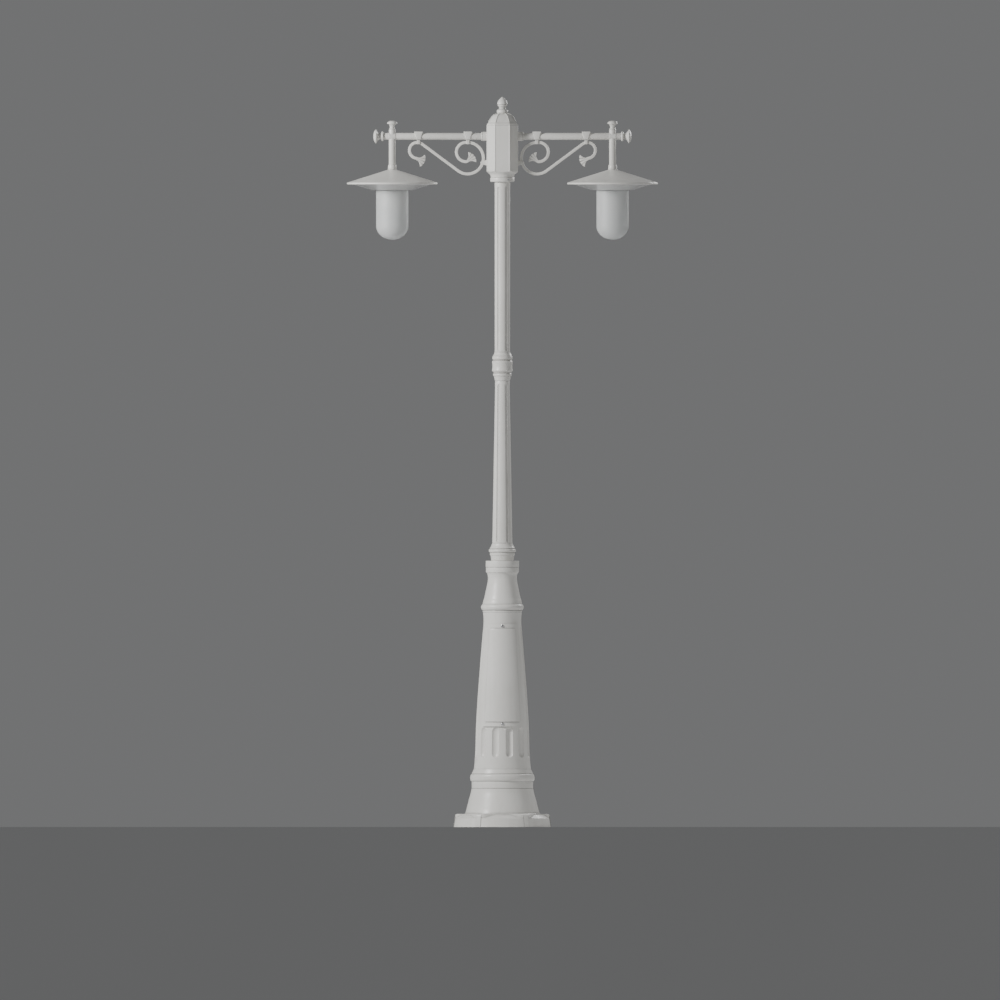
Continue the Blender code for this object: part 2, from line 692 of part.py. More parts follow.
def pedestal_cap():
    """Turned casting: ring, full bead, waisted neck and drum, bored for the shaft's tenon."""
    low = PEDESTAL_TOP + GAP
    top = CAP_TOP
    drum = top - CAP_DRUM_HEIGHT
    bore = clear_of(SHAFT_TENON_RADIUS)
    outline = [
        (CAP_RING_RADIUS - CASTING_WALL, low),
        (CAP_RING_RADIUS, low),
        (CAP_RING_RADIUS, low + 0.0065),
        (CAP_BEAD_RADIUS - 0.002, low + 0.0110),
        (CAP_BEAD_RADIUS, low + 0.0160),
        (CAP_BEAD_RADIUS - 0.002, low + 0.0210),
        (CAP_RING_RADIUS + 0.001, low + 0.0258),
        (CAP_RING_RADIUS - 0.0031, low + 0.0407),
        (0.5 * (CAP_RING_RADIUS + CAP_NECK_RADIUS) - 0.002, low + 0.0707),
        (CAP_NECK_RADIUS, drum - 0.022),
        (CAP_NECK_RADIUS + 0.0015, drum - 0.010),
        (CAP_DRUM_RADIUS - 0.0006, drum),
        (CAP_DRUM_RADIUS - 0.0006, drum + 0.0155),
        (CAP_DRUM_RADIUS, drum + 0.0160),
        (CAP_DRUM_RADIUS, top),
        (bore, top),
        (bore, top - SHAFT_TENON_LENGTH - 0.004),
        (bore - 0.004, top - SHAFT_TENON_LENGTH - 0.004),
        (bore - 0.004, top - SHAFT_TENON_LENGTH - 0.010),
        (CAP_NECK_RADIUS - CASTING_WALL, low + 0.0800),
        (CAP_RING_RADIUS - CASTING_WALL - 0.004, low + 0.0407),
    ]
    turned("pedestal_cap", outline, LARGE_SIDES, COAT)


def lower_capital():
    """Loose moulded ring that hides the joint between the cap and the lower shaft."""
    low = CAP_TOP + GAP
    top = CAP_TOP + CAPITAL_HEIGHT
    foot = CAPITAL_BEAD_RADIUS - 0.0072
    band = CAPITAL_BEAD_RADIUS - 0.0037
    outline = [
        (foot, low),
        (foot + 0.0015, low + 0.0145),
        (band, low + 0.0180),
        (band, low + 0.0260),
        *bead(band, CAPITAL_BEAD_RADIUS, low + 0.0265, low + 0.0370),
        (band + 0.0003, low + 0.0405),
        (0.5 * (band + SHAFT_FOOT_RADIUS), low + 0.0465),
        (SHAFT_FOOT_RADIUS + 0.0004, top),
        (clear_of(SHAFT_TENON_RADIUS), top),
        (clear_of(SHAFT_TENON_RADIUS), low),
    ]
    turned("lower_capital", outline, LARGE_SIDES, COAT)


# ---- shafts and coupling ----


def shaft_ring(radius, depth, height):
    first = math.pi / SHAFT_FLUTES
    half_angle = math.asin(SHAFT_FLUTE_WIDTH / 2 / radius)
    return fluted_ring(SHAFT_FLUTES, half_angle, first, radius, [depth] * SHAFT_FLUTES, height)


def lower_shaft():
    """Hollow tapered shaft with six flutes, and a tenon down through the capital into the cap."""
    def tapered(height):
        return SHAFT_FOOT_RADIUS + (SHAFT_HEAD_RADIUS - SHAFT_FOOT_RADIUS) * height / SHAFT_LENGTH

    tenon_foot = CAP_TOP - SHAFT_TENON_LENGTH
    rings = [
        shaft_ring(SHAFT_TENON_RADIUS, 0, tenon_foot),
        shaft_ring(SHAFT_TENON_RADIUS, 0, SHAFT_START + GAP),
        shaft_ring(SHAFT_FOOT_RADIUS, 0, SHAFT_START + GAP),
    ]
    low, high = SHAFT_FLUTE_MARGIN, SHAFT_LENGTH - SHAFT_FLUTE_MARGIN
    half = SHAFT_FLUTE_WIDTH / 2
    rows = [(low, 0), (low + half, 1), (SHAFT_LENGTH / 2, 1), (high - half, 1), (high, 0)]
    rows.append((SHAFT_LENGTH - GAP, 0))
    for height, share in rows:
        rings.append(shaft_ring(tapered(height), SHAFT_FLUTE_DEPTH * share, SHAFT_START + height))
    rings += [shaft_ring(SHAFT_BORE_RADIUS, 0, SHAFT_TOP - GAP), shaft_ring(SHAFT_BORE_RADIUS, 0, tenon_foot)]
    skinned("lower_shaft", rings, True, COAT)


def mid_coupling():
    """Turned coupling between the shafts: bead, waisted drum and a second bead, on a sleeve."""
    low, top = SHAFT_TOP + GAP, COUPLING_TOP - GAP
    drum_low, drum_high = low + 0.0320, low + 0.0610
    neck = UPPER_SHAFT_RADIUS + 0.0003
    outline = [
        (SHAFT_HEAD_RADIUS, low),
        (SHAFT_HEAD_RADIUS + 0.0021, low + 0.0075),
        (SHAFT_HEAD_RADIUS + 0.0036, low + 0.0130),
        *bead(COUPLING_RADIUS - 0.0058, COUPLING_RADIUS - 0.0033, low + 0.0155, low + 0.0240),
        (COUPLING_RADIUS - 0.0052, low + 0.0255),
        (COUPLING_RADIUS, drum_low),
        (COUPLING_RADIUS - 0.0015, (drum_low + drum_high) / 2),
        (COUPLING_RADIUS, drum_high),
        (COUPLING_RADIUS - 0.0039, low + 0.0655),
        *bead(COUPLING_RADIUS - 0.0035, COUPLING_RADIUS - 0.0009, low + 0.0680, low + 0.0775),
        (COUPLING_RADIUS - 0.0050, low + 0.0810),
        (neck, top),
        (clear_of(SHAFT_BORE_RADIUS), top),
        (clear_of(SHAFT_BORE_RADIUS), low),
    ]
    turned("mid_coupling", outline, LARGE_SIDES, COAT)
    centre = (SHAFT_TOP + COUPLING_TOP) / 2
    # The shafts' bores are faceted unevenly, so the sleeve clears their flats too.
    outer = SHAFT_BORE_RADIUS * math.cos(math.pi / SHAFT_FLUTES / 2) - GAP
    inner = outer - SLEEVE_WALL
    ends = (centre - SLEEVE_LENGTH / 2, centre + SLEEVE_LENGTH / 2)
    outline = [(outer, ends[0]), (outer, ends[1]), (inner, ends[1]), (inner, ends[0])]
    turned("joint_sleeve", outline, MIDDLE_SIDES, ZINC)


def upper_shaft():
    """Straight fluted shaft. Its plain top end is the spigot that the hub turns on."""
    low, high = UPPER_FLUTE_MARGIN * 0.4, UPPER_SHAFT_LENGTH - 2 * UPPER_FLUTE_MARGIN
    half = SHAFT_FLUTE_WIDTH / 2
    top = UPPER_TOP + SPIGOT_LENGTH
    rows = [(GAP, 0), (low, 0), (low + half, 1), (high - half, 1), (high, 0)]
    rings = []
    for height, share in rows:
        rings.append(shaft_ring(UPPER_SHAFT_RADIUS, SHAFT_FLUTE_DEPTH * share, COUPLING_TOP + height))
    rings += [
        shaft_ring(UPPER_SHAFT_RADIUS, 0, top),
        shaft_ring(SHAFT_BORE_RADIUS, 0, top),
        shaft_ring(SHAFT_BORE_RADIUS, 0, COUPLING_TOP + GAP),
    ]
    skinned("upper_shaft", rings, True, COAT)


# ---- hub, dome and finial ----


def pole_collar(head):
    """Ring under the hub, with set screws that grip the spigot."""
    low, top = UPPER_TOP, UPPER_TOP + COLLAR_HEIGHT
    bore = clear_of(UPPER_SHAFT_RADIUS)
    rounding = 0.003
    outline = [
        (bore, low),
        (COLLAR_RADIUS - rounding, low),
        (COLLAR_RADIUS, low + rounding),
        (COLLAR_RADIUS, top - rounding),
        (COLLAR_RADIUS - rounding, top),
        (bore, top),
    ]
    collar = turned("pole_collar", outline, LARGE_SIDES, COAT, head)
    for number in range(SET_SCREWS):
        angle = SET_SCREW_FIRST + number * math.tau / SET_SCREWS
        place = turn(angle) @ move(0, 0, (low + top) / 2) @ ALONG_MINUS_Y
        screw_bore = clear_of(SET_SCREW_RADIUS, SMALL_SIDES)
        hole = (screw_bore, UPPER_SHAFT_RADIUS * 0.5, COLLAR_RADIUS + 0.01, SMALL_SIDES)
        combine(collar, rod(f"set_screw_hole_{number + 1}", *hole, None, head, place))
        tip, end = UPPER_SHAFT_RADIUS + GAP, COLLAR_RADIUS + 0.0006
        outline = [
            (0, tip),
            (SET_SCREW_RADIUS * 0.6, tip),
            (SET_SCREW_RADIUS, tip + 0.002),
            (SET_SCREW_RADIUS, end - 0.0004),
            (SET_SCREW_RADIUS - 0.0004, end),
            (SET_SCREW_RADIUS * 0.5, end),
            (SET_SCREW_RADIUS * 0.5, end - 0.0022),
            (0, end - 0.0022),
        ]
        turned(f"set_screw_{number + 1}", outline, SMALL_SIDES, STEEL, head, place)


def hub_angles():
    """Angles round the hub, in pairs at its eight corners, and through each face."""
    corner = math.atan2(HUB_FACE_HALF_WIDTH, HUB_HALF_WIDTH)
    narrow = HUB_CORNER_BEAD / HUB_HALF_WIDTH
    quarter = [0, corner / 2, corner - narrow, corner + narrow, math.pi / 4]
    mirrored = [math.pi / 2 - angle for angle in quarter[1:4]][::-1]
    return [side * math.pi / 2 + angle for side in range(4) for angle in quarter + mirrored]


def hub_ring(half_width, height):
    """A square with cut corners, scaled to a half-width, with a small flat on each corner."""
    scale = half_width / HUB_HALF_WIDTH
    diagonal = (HUB_HALF_WIDTH + HUB_FACE_HALF_WIDTH) / math.sqrt(2)
    ring = []
    for angle in hub_angles():
        straight = (angle + math.pi / 4) % (math.pi / 2) - math.pi / 4
        slanted = angle % (math.pi / 2) - math.pi / 4
        radius = scale * min(HUB_HALF_WIDTH / math.cos(straight), diagonal / math.cos(slanted))
        ring.append((radius * math.sin(angle), -radius * math.cos(angle), height))
    return ring


def hub_body(head):
    """Hollow eight-sided casting: round foot, box with a cornice, and a hole for each arm."""
    bore = clear_of(UPPER_SHAFT_RADIUS + GAP, 20)
    cavity = HUB_HALF_WIDTH - HUB_WALL
    cornice = HUB_FOOT + HUB_HEIGHT - HUB_CORNICE_HEIGHT
    angles = hub_angles()
    rings = [
        circle_ring(angles, HUB_FOOT_RADIUS, HUB_FOOT),
        circle_ring(angles, HUB_FOOT_RADIUS + 0.004, HUB_FOOT + 0.004),
        hub_ring(HUB_HALF_WIDTH, HUB_FOOT + HUB_FOOT_HEIGHT),
        hub_ring(HUB_HALF_WIDTH, cornice),
        hub_ring(HUB_HALF_WIDTH - 0.0012, cornice + 0.0015),
        hub_ring(HUB_HALF_WIDTH - 0.0012, cornice + HUB_CORNICE_HEIGHT * 0.6),
        hub_ring(HUB_RIM_HALF_WIDTH, HUB_FOOT + HUB_HEIGHT - GAP),
        hub_ring(HUB_RIM_HALF_WIDTH - HUB_WALL, HUB_FOOT + HUB_HEIGHT - GAP),
        hub_ring(cavity, cornice - 0.004),
        hub_ring(cavity, HUB_FOOT + HUB_FLOOR_HEIGHT),
        circle_ring(angles, bore, HUB_FOOT + HUB_FLOOR_HEIGHT),
        circle_ring(angles, bore, HUB_FOOT),
    ]
    body = skinned("hub_body", rings, True, COAT, head)
    reach = HUB_HALF_WIDTH + 0.01
    place = move(0, 0, ARM_LEVEL) @ ALONG_X
    hole = (clear_of(ARM_RADIUS), -reach, reach, MIDDLE_SIDES)
    combine(body, rod("arm_holes", *hole, None, head, place))


def hub_dome(head):
    """Faceted dome cap that lifts off the hub, with a locating rim inside its wall."""
    low, top = DOME_FOOT, DOME_FOOT + DOME_HEIGHT
    rim = HUB_RIM_HALF_WIDTH
    plug = rim - HUB_WALL - 0.0006
    wall = 0.0035
    rings = []
    for step in range(5):
        along = step / 4
        half = DOME_NECK_RADIUS + 0.003 + (rim - DOME_NECK_RADIUS - 0.003) * math.sqrt(1 - along**1.75)
        rings.append(hub_ring(half, low + DOME_HEIGHT * along * 0.96))
    angles = hub_angles()
    rings += [
        circle_ring(angles, DOME_NECK_RADIUS + 0.002, top - GAP),
        circle_ring(angles, FINIAL_STUD_RADIUS + 0.0005, top - GAP),
        circle_ring(angles, FINIAL_STUD_RADIUS + 0.0005, top - 0.005),
        hub_ring(0.022, top - 0.0085),
        hub_ring(plug - wall, low + 0.006),
        hub_ring(plug - wall, low - 0.006),
        hub_ring(plug, low - 0.006),
        hub_ring(plug, low),
    ]
    skinned("hub_dome", rings, True, COAT, head)


def hub_finial(head):
    """Turned acorn finial on a stud through the dome."""
    low, top = FINIAL_FOOT, FINIAL_FOOT + FINIAL_HEIGHT
    outline = [
        (0, low - 0.012),
        (FINIAL_STUD_RADIUS, low - 0.012),
        (FINIAL_STUD_RADIUS, low),
        (DOME_NECK_RADIUS, low),
        (FINIAL_RADIUS, low + 0.0050),
        (FINIAL_RADIUS, low + 0.0095),
        (FINIAL_RADIUS - 0.0075, low + 0.0165),
        (FINIAL_RADIUS - 0.0034, low + 0.0235),
        (FINIAL_RADIUS - 0.0016, low + 0.0280),
        (FINIAL_RADIUS - 0.0028, low + 0.0360),
        (FINIAL_RADIUS - 0.0072, low + 0.0445),
        (0, top),
    ]
    turned("hub_finial", outline, MIDDLE_SIDES, COAT, head)


# ---- arms ----


def arm_tube(side, arm):
    """Tube from inside the hub out past the lamp, with a wire hole over the stem."""
    start = HUB_FACE - HUB_WALL - 0.003
    end = ARM_REACH + ARM_OVERHANG
    inner = ARM_RADIUS - ARM_WALL
    outline = [(ARM_RADIUS, start), (ARM_RADIUS, end), (inner, end), (inner, start)]
    tube = turned(f"{side}_arm_tube", outline, MIDDLE_SIDES, COAT, arm, ALONG_X)
    place = move(ARM_REACH)
    combine(tube, rod(f"{side}_wire_hole", WIRE_HOLE_RADIUS, -0.02, 0, SMALL_SIDES, None, arm, place))


def arm_collar(side, arm):
    """Rounded flange ring where the tube leaves the hub."""
    start, end = HUB_FACE + GAP, HUB_FACE + ARM_COLLAR_LENGTH
    bore, rounding = clear_of(ARM_RADIUS), 0.0015
    outline = [
        (bore, start),
        (ARM_COLLAR_RADIUS, start),
        (ARM_COLLAR_RADIUS, end - rounding),
        (ARM_COLLAR_RADIUS - rounding, end),
        (bore, end),
    ]
    turned(f"{side}_arm_collar", outline, MIDDLE_SIDES, COAT, arm, ALONG_X)


def end_finial(side, arm):
    """Turned end piece with a bead, a thin neck and a flared disc, pushed into the tube."""
    start = ARM_REACH + ARM_OVERHANG + GAP
    plug = (ARM_RADIUS - ARM_WALL) * math.cos(math.pi / MIDDLE_SIDES) - GAP
    end = start + END_LENGTH
    outline = [
        (0, start - END_SPIGOT_LENGTH),
        (plug, start - END_SPIGOT_LENGTH),
        (plug, start),
        (ARM_RADIUS, start),
        *bead(ARM_RADIUS + 0.0010, END_BEAD_RADIUS, start + 0.0010, start + 0.0080),
        (END_BEAD_RADIUS - 0.0059, start + 0.0100),
        (END_BEAD_RADIUS - 0.0045, start + 0.0150),
        (END_DISC_RADIUS - 0.0030, start + 0.0205),
        (END_DISC_RADIUS, start + 0.0235),
        (END_DISC_RADIUS - 0.0010, start + 0.0265),
        (END_DISC_RADIUS * 0.6, end - 0.0015),
        (0, end),
    ]
    turned(f"{side}_end_finial", outline, MIDDLE_SIDES, COAT, arm, ALONG_X)


def stem(side, arm):
    """Drop pipe and capped upper stub, both notched to sit on the arm's tube."""
    inner = ARM_RADIUS - ARM_WALL
    place = move(ARM_REACH)
    notch = (clear_of(ARM_RADIUS), -0.03, 0.03, MIDDLE_SIDES)
    outline = [(inner, -STEM_DROP), (ARM_RADIUS, -STEM_DROP), (ARM_RADIUS, 0), (inner, 0)]
    pipe = turned(f"{side}_stem_pipe", outline, MIDDLE_SIDES, COAT, arm, place)
    combine(pipe, rod(f"{side}_stem_notch", *notch, None, arm, move(ARM_REACH) @ ALONG_X))
    foot = STEM_RISE
    outline = [
        (0, 0),
        (ARM_RADIUS, 0),
        (ARM_RADIUS, foot),
        (ARM_RADIUS - 0.0030, foot + 0.0070),
        (ARM_RADIUS + 0.0005, foot + 0.0164),
        (STEM_CAP_RADIUS, foot + 0.0188),
        (STEM_CAP_RADIUS - 0.0012, foot + 0.0225),
        (STEM_CAP_RADIUS * 0.62, foot + 0.0262),
        (0, foot + STEM_CAP_HEIGHT),
    ]
    cap = turned(f"{side}_stem_cap", outline, MIDDLE_SIDES, COAT, arm, place)
    combine(cap, rod(f"{side}_cap_notch", *notch, None, arm, move(ARM_REACH) @ ALONG_X))


# ---- scrolls ----


def arc(centre, radius, start, end):
    """Points and unit travel directions along an arc, in steps of a few degrees."""
    count = max(2, round(abs(end - start) / CURL_STEP))
    sense = 1 if end > start else -1
    made = []
    for step in range(count + 1):
        angle = start + (end - start) * step / count
        point = (centre[0] + radius * math.cos(angle), centre[1] + radius * math.sin(angle))
        made.append((point, (-sense * math.sin(angle), sense * math.cos(angle))))
    return made


def leaf(point, direction, turned_by):
    """Outline of the fan leaf at a bar's end, from one edge of the bar round to the other."""
    heading = math.atan2(direction[1], direction[0]) + turned_by
    half_bar = BAR_WIDTH / 2
    tip_along = LEAF_LENGTH * 0.76
    side = [(LEAF_LENGTH * 0.27, half_bar + 0.0013), (LEAF_LENGTH * 0.52, LEAF_HALF_WIDTH * 0.49)]
    fan = []
    count = 2 * LEAF_SCALLOPS
    for step in range(count + 1):
        across = 1 - 2 * step / count
        crown = tip_along + (LEAF_LENGTH - tip_along) * (1 - across**2)
        notch = LEAF_SCALLOP_DEPTH * (1 - abs(math.cos(math.pi * LEAF_SCALLOPS * (across + 1) / 2)))
        fan.append((crown - LEAF_SCALLOP_DEPTH + notch, across * LEAF_HALF_WIDTH))
    outline = side + fan + [(along, -across) for along, across in side[::-1]]
    made = []
    for along, across in outline:
        x = point[0] + along * math.cos(heading) - across * math.sin(heading)
        z = point[1] + along * math.sin(heading) + across * math.cos(heading)
        made.append((x, z))
    return made


def scroll_line():
    """Middle line of the scroll: outer curl, slanting bar, large arc and inner curl."""
    top = SCROLL_LEVEL
    outer = (ARM_REACH - OUTER_CURL_INSET, top - OUTER_CURL_RADIUS)
    large = (HUB_FACE + ARC_INSET, top - ARC_RADIUS)
    inner = (large[0] + INNER_CURL_SHIFT, top - INNER_CURL_RADIUS)
    apart = math.dist(outer, large)
    bearing = math.atan2(large[1] - outer[1], large[0] - outer[0])
    slope = bearing + math.asin((OUTER_CURL_RADIUS + ARC_RADIUS) / apart)
    quarter = math.pi / 2
    line = arc(outer, OUTER_CURL_RADIUS, math.radians(-80), slope % math.tau - quarter)
    line += arc(large, ARC_RADIUS, slope % math.tau + quarter - math.tau, -3 * quarter)
    line += arc(inner, INNER_CURL_RADIUS, quarter, math.radians(-95))
    return line


def scroll(side, arm):
    """Flat bar bent into two curls, with a fan leaf forged on each end."""
    line = scroll_line()
    half = BAR_WIDTH / 2
    left = [(x - dz * half, z + dx * half) for (x, z), (dx, dz) in line]
    right = [(x + dz * half, z - dx * half) for (x, z), (dx, dz) in line]
    start, start_way = line[0]
    end, end_way = line[-1]
    back_way = (-start_way[0], -start_way[1])
    outer_leaf = leaf(start, back_way, -OUTER_LEAF_TURN)
    inner_leaf = leaf(end, end_way, -INNER_LEAF_TURN)
    outline = left + inner_leaf + right[::-1] + outer_leaf
    half_depth = BAR_THICKNESS / 2
    rings = [[(x, y, z) for x, z in outline] for y in (-half_depth, half_depth)]
    skinned(f"{side}_scroll", rings, False, COAT, arm)


def clamp(side, place_name, place_x, arm):
    """Tulip-shaped clamp round the arm's tube, with a fork that holds the scroll's bar."""
    depth = ARM_RADIUS + CLAMP_WALL
    fork_depth = BAR_THICKNESS / 2 + FORK_WALL
    bar_top = SCROLL_LEVEL + BAR_WIDTH / 2
    foot = bar_top - BAR_WIDTH - 0.0008
    neck = -ARM_RADIUS + 0.0003
    sections = [
        (foot, CLAMP_NECK_HALF_WIDTH - 0.001, fork_depth),
        (foot + 0.0015, CLAMP_NECK_HALF_WIDTH, fork_depth),
        (neck - 0.0010, CLAMP_NECK_HALF_WIDTH, fork_depth),
        (neck, CLAMP_WAIST_HALF_WIDTH, ARM_RADIUS - CLAMP_WAIST_INSET),
        (-0.001, (CLAMP_WAIST_HALF_WIDTH + CLAMP_TOP_HALF_WIDTH) / 2 - 0.0008, depth),
        (CLAMP_TOP - 0.0030, CLAMP_TOP_HALF_WIDTH, depth),
        (CLAMP_TOP, CLAMP_TOP_HALF_WIDTH - 0.0012, depth - 0.0030),
    ]
    rings = []
    for height, half_x, half_y in sections:
        cut = 0.35 * half_x
        ring = [(half_x, half_y - cut), (half_x - cut, half_y)]
        ring += [(cut - half_x, half_y), (-half_x, half_y - cut)]
        ring += [(-x, -y) for x, y in ring]
        rings.append([(place_x + x, y, height) for x, y in ring])
    made = skinned(f"{side}_{place_name}_clamp", rings, False, COAT, arm)
    reach = CLAMP_TOP_HALF_WIDTH * 2
    tube = (clear_of(ARM_RADIUS), -reach, reach, MIDDLE_SIDES)
    combine(made, rod(f"{made.name}_bore", *tube, None, arm, move(place_x) @ ALONG_X))
    slot = BAR_THICKNESS / 2 + GAP
    low = (place_x - reach, -slot, foot - 0.01)
    high = (place_x + reach, slot, bar_top + GAP)
    combine(made, boxed(f"{made.name}_slot", [(low, high)], None, arm))


def scroll_lug(side, arm):
    """Forked lug on the hub's face that holds the scroll's large arc."""
    height = SCROLL_LEVEL - ARC_RADIUS - LUG_DROP
    fork_depth = BAR_THICKNESS / 2 + FORK_WALL
    rings = []
    shape = ((GAP, LUG_HALF_HEIGHT), (0.006, LUG_HALF_HEIGHT * 0.86), (LUG_LENGTH, LUG_TIP_HALF_HEIGHT))
    for along, half in shape:
        corners = [(-fork_depth, -half), (fork_depth, -half), (fork_depth, half), (-fork_depth, half)]
        rings.append([(HUB_FACE + along, y, height + z) for y, z in corners])
    made = skinned(f"{side}_scroll_lug", rings, False, COAT, arm)
    slot = BAR_THICKNESS / 2 + GAP
    bar = HUB_FACE + ARC_INSET - ARC_RADIUS - BAR_WIDTH / 2 - GAP
    low = (bar - 0.0006, -slot, height - 0.02)
    high = (HUB_FACE + 2 * LUG_LENGTH, slot, height + 0.02)
    combine(made, boxed(f"{made.name}_slot", [(low, high)], None, arm))


# ---- lamp heads ----


def lamp_shell(side, arm, place):
    """Socket cup, cone shade with a rolled rim, and the white dish that closes it from below."""
    bore = clear_of(ARM_RADIUS)
    cup_foot = SHADE_TOP + GAP
    outline = [
        (bore, cup_foot),
        (CUP_RADIUS, cup_foot),
        (CUP_RADIUS, cup_foot + CUP_HEIGHT - 0.002),
        (CUP_RADIUS - 0.002, cup_foot + CUP_HEIGHT),
        (bore, cup_foot + CUP_HEIGHT),
    ]
    turned(f"{side}_stem_socket", outline, MIDDLE_SIDES, COAT, arm, place)
    rim = SHADE_RADIUS - SHADE_RIM_WIDTH
    outline = [
        (bore, SHADE_TOP),
        (CUP_RADIUS, SHADE_TOP),
        (SHADE_RADIUS, SHADE_RIM),
        (SHADE_RADIUS, DISH_LEVEL),
        (rim, DISH_LEVEL),
        (rim, SHADE_RIM - SHADE_WALL + 0.0005),
        (CUP_RADIUS + 0.002, SHADE_TOP - SHADE_WALL - 0.0006),
        (bore, SHADE_TOP - SHADE_WALL),
    ]
    turned(f"{side}_shade", outline, LARGE_SIDES, COAT, arm, place)
    flange = rim * math.cos(math.pi / LARGE_SIDES) - GAP
    hole = clear_of(GLASS_RADIUS, LARGE_SIDES)
    outline = [
        (flange, DISH_LEVEL),
        (flange, DISH_LEVEL + DISH_WALL),
        (DISH_RADIUS, DISH_LEVEL + DISH_WALL),
        (DISH_FLAT_RADIUS, DISH_FLOOR + DISH_WALL),
        (hole, DISH_FLOOR + DISH_WALL),
        (hole, DISH_FLOOR),
        (DISH_FLAT_RADIUS, DISH_FLOOR),
        (DISH_RADIUS, DISH_LEVEL),
    ]
    turned(f"{side}_dish", outline, LARGE_SIDES, ENAMEL, arm, place)


def glass(side, arm, place):
    """Threaded gallery ring on the dish, the seal in it, and the glass jar with its round end."""
    low = DISH_FLOOR + DISH_WALL + GAP
    seal_low = GLASS_TOP + GAP
    lip = seal_low + GASKET_HEIGHT + GAP
    bore = clear_of(GLASS_RADIUS, LARGE_SIDES)
    outline = [
        (bore, low),
        (bore + GALLERY_WALL, low),
        (bore + GALLERY_WALL, lip + GALLERY_LIP_THICKNESS),
        (GLASS_RADIUS - GALLERY_LIP, lip + GALLERY_LIP_THICKNESS),
        (GLASS_RADIUS - GALLERY_LIP, lip),
        (bore, lip),
    ]
    turned(f"{side}_glass_gallery", outline, LARGE_SIDES, COAT, arm, place)
    seal = [(GLASS_RADIUS - GALLERY_LIP + 0.001, seal_low), (GLASS_RADIUS - 0.0005, seal_low)]
    seal += [(radius, seal_low + GASKET_HEIGHT) for radius, _ in seal[::-1]]
    turned(f"{side}_glass_seal", seal, LARGE_SIDES, RUBBER, arm, place)
    dome = DISH_FLOOR - GLASS_STRAIGHT
    inner = GLASS_RADIUS - GLASS_WALL
    outside, inside = [], []
    for step in range(5):
        angle = math.pi / 2 * step / 4
        outside.append((GLASS_RADIUS * math.sin(angle), dome - GLASS_DOME * math.cos(angle)))
        inside.append((inner * math.sin(angle), dome - (GLASS_DOME - GLASS_WALL) * math.cos(angle)))
    outline = outside + [(GLASS_RADIUS, GLASS_TOP), (inner, GLASS_TOP)] + inside[::-1]
    turned(f"{side}_glass_jar", outline, LARGE_SIDES, FROSTED_GLASS, arm, place)


def lamp(side, arm, place):
    """Ceramic lamp holder on the stem's end, and the bulb screwed up into it."""
    outline = [
        (0, HOLDER_TOP),
        (HOLDER_RADIUS * 0.55, HOLDER_TOP),
        (HOLDER_RADIUS * 0.62, HOLDER_TOP - 0.006),
        (HOLDER_RADIUS, HOLDER_TOP - 0.012),
        (HOLDER_RADIUS, HOLDER_MOUTH),
        (HOLDER_BORE_RADIUS, HOLDER_MOUTH),
        (HOLDER_BORE_RADIUS, HOLDER_MOUTH + HOLDER_BORE_DEPTH),
        (0, HOLDER_MOUTH + HOLDER_BORE_DEPTH),
    ]
    turned(f"{side}_lamp_holder", outline, MIDDLE_SIDES, CERAMIC, arm, place)
    neck = BULB_TOP - BULB_CAP_LENGTH
    centre = BULB_TOP - BULB_LENGTH + BULB_RADIUS
    outline = [
        (0, BULB_TOP),
        (BULB_CAP_RADIUS * 0.45, BULB_TOP),
        (BULB_CAP_RADIUS, BULB_TOP - 0.005),
        (BULB_CAP_RADIUS, neck),
        (BULB_CAP_RADIUS + 0.0010, neck - 0.003),
        (BULB_RADIUS * 0.62, 0.5 * (neck + centre) - 0.001),
    ]
    outline += [
        (BULB_RADIUS * math.cos(angle), centre + BULB_RADIUS * math.sin(angle))
        for angle in [math.radians(degrees) for degrees in (35, 12, -12, -36, -62)]
    ]
    outline.append((0, centre - BULB_RADIUS))
    turned(f"{side}_bulb", outline, MIDDLE_SIDES, BULB_GLASS, arm, place)


def build_arm(side, heading, head):
    """One arm with everything that it carries. The arms are the same piece set half a turn apart."""
    arm = bpy.data.objects.new(f"{side}_arm", None)
    bpy.context.scene.collection.objects.link(arm)
    arm.parent = head
    arm.matrix_local = turn(heading) @ move(0, 0, ARM_LEVEL)
    arm_tube(side, arm)
    arm_collar(side, arm)
    end_finial(side, arm)
    stem(side, arm)
    scroll(side, arm)
    clamp(side, "outer", ARM_REACH - OUTER_CLAMP_INSET, arm)
    clamp(side, "inner", HUB_FACE + ARC_INSET - 0.001, arm)
    scroll_lug(side, arm)
    lamp_axis = move(ARM_REACH)
    lamp_shell(side, arm, lamp_axis)
    glass(side, arm, lamp_axis)
    lamp(side, arm, lamp_axis)


base_plinth()
pedestal_body()
door()
wiring_tray()
pedestal_cap()
lower_capital()
lower_shaft()
mid_coupling()
upper_shaft()

turning_head = bpy.data.objects.new("turning_head", None)
bpy.context.scene.collection.objects.link(turning_head)
pole_collar(turning_head)
hub_body(turning_head)
hub_dome(turning_head)
hub_finial(turning_head)
build_arm("right", 0, turning_head)
build_arm("left", math.pi, turning_head)
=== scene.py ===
import math

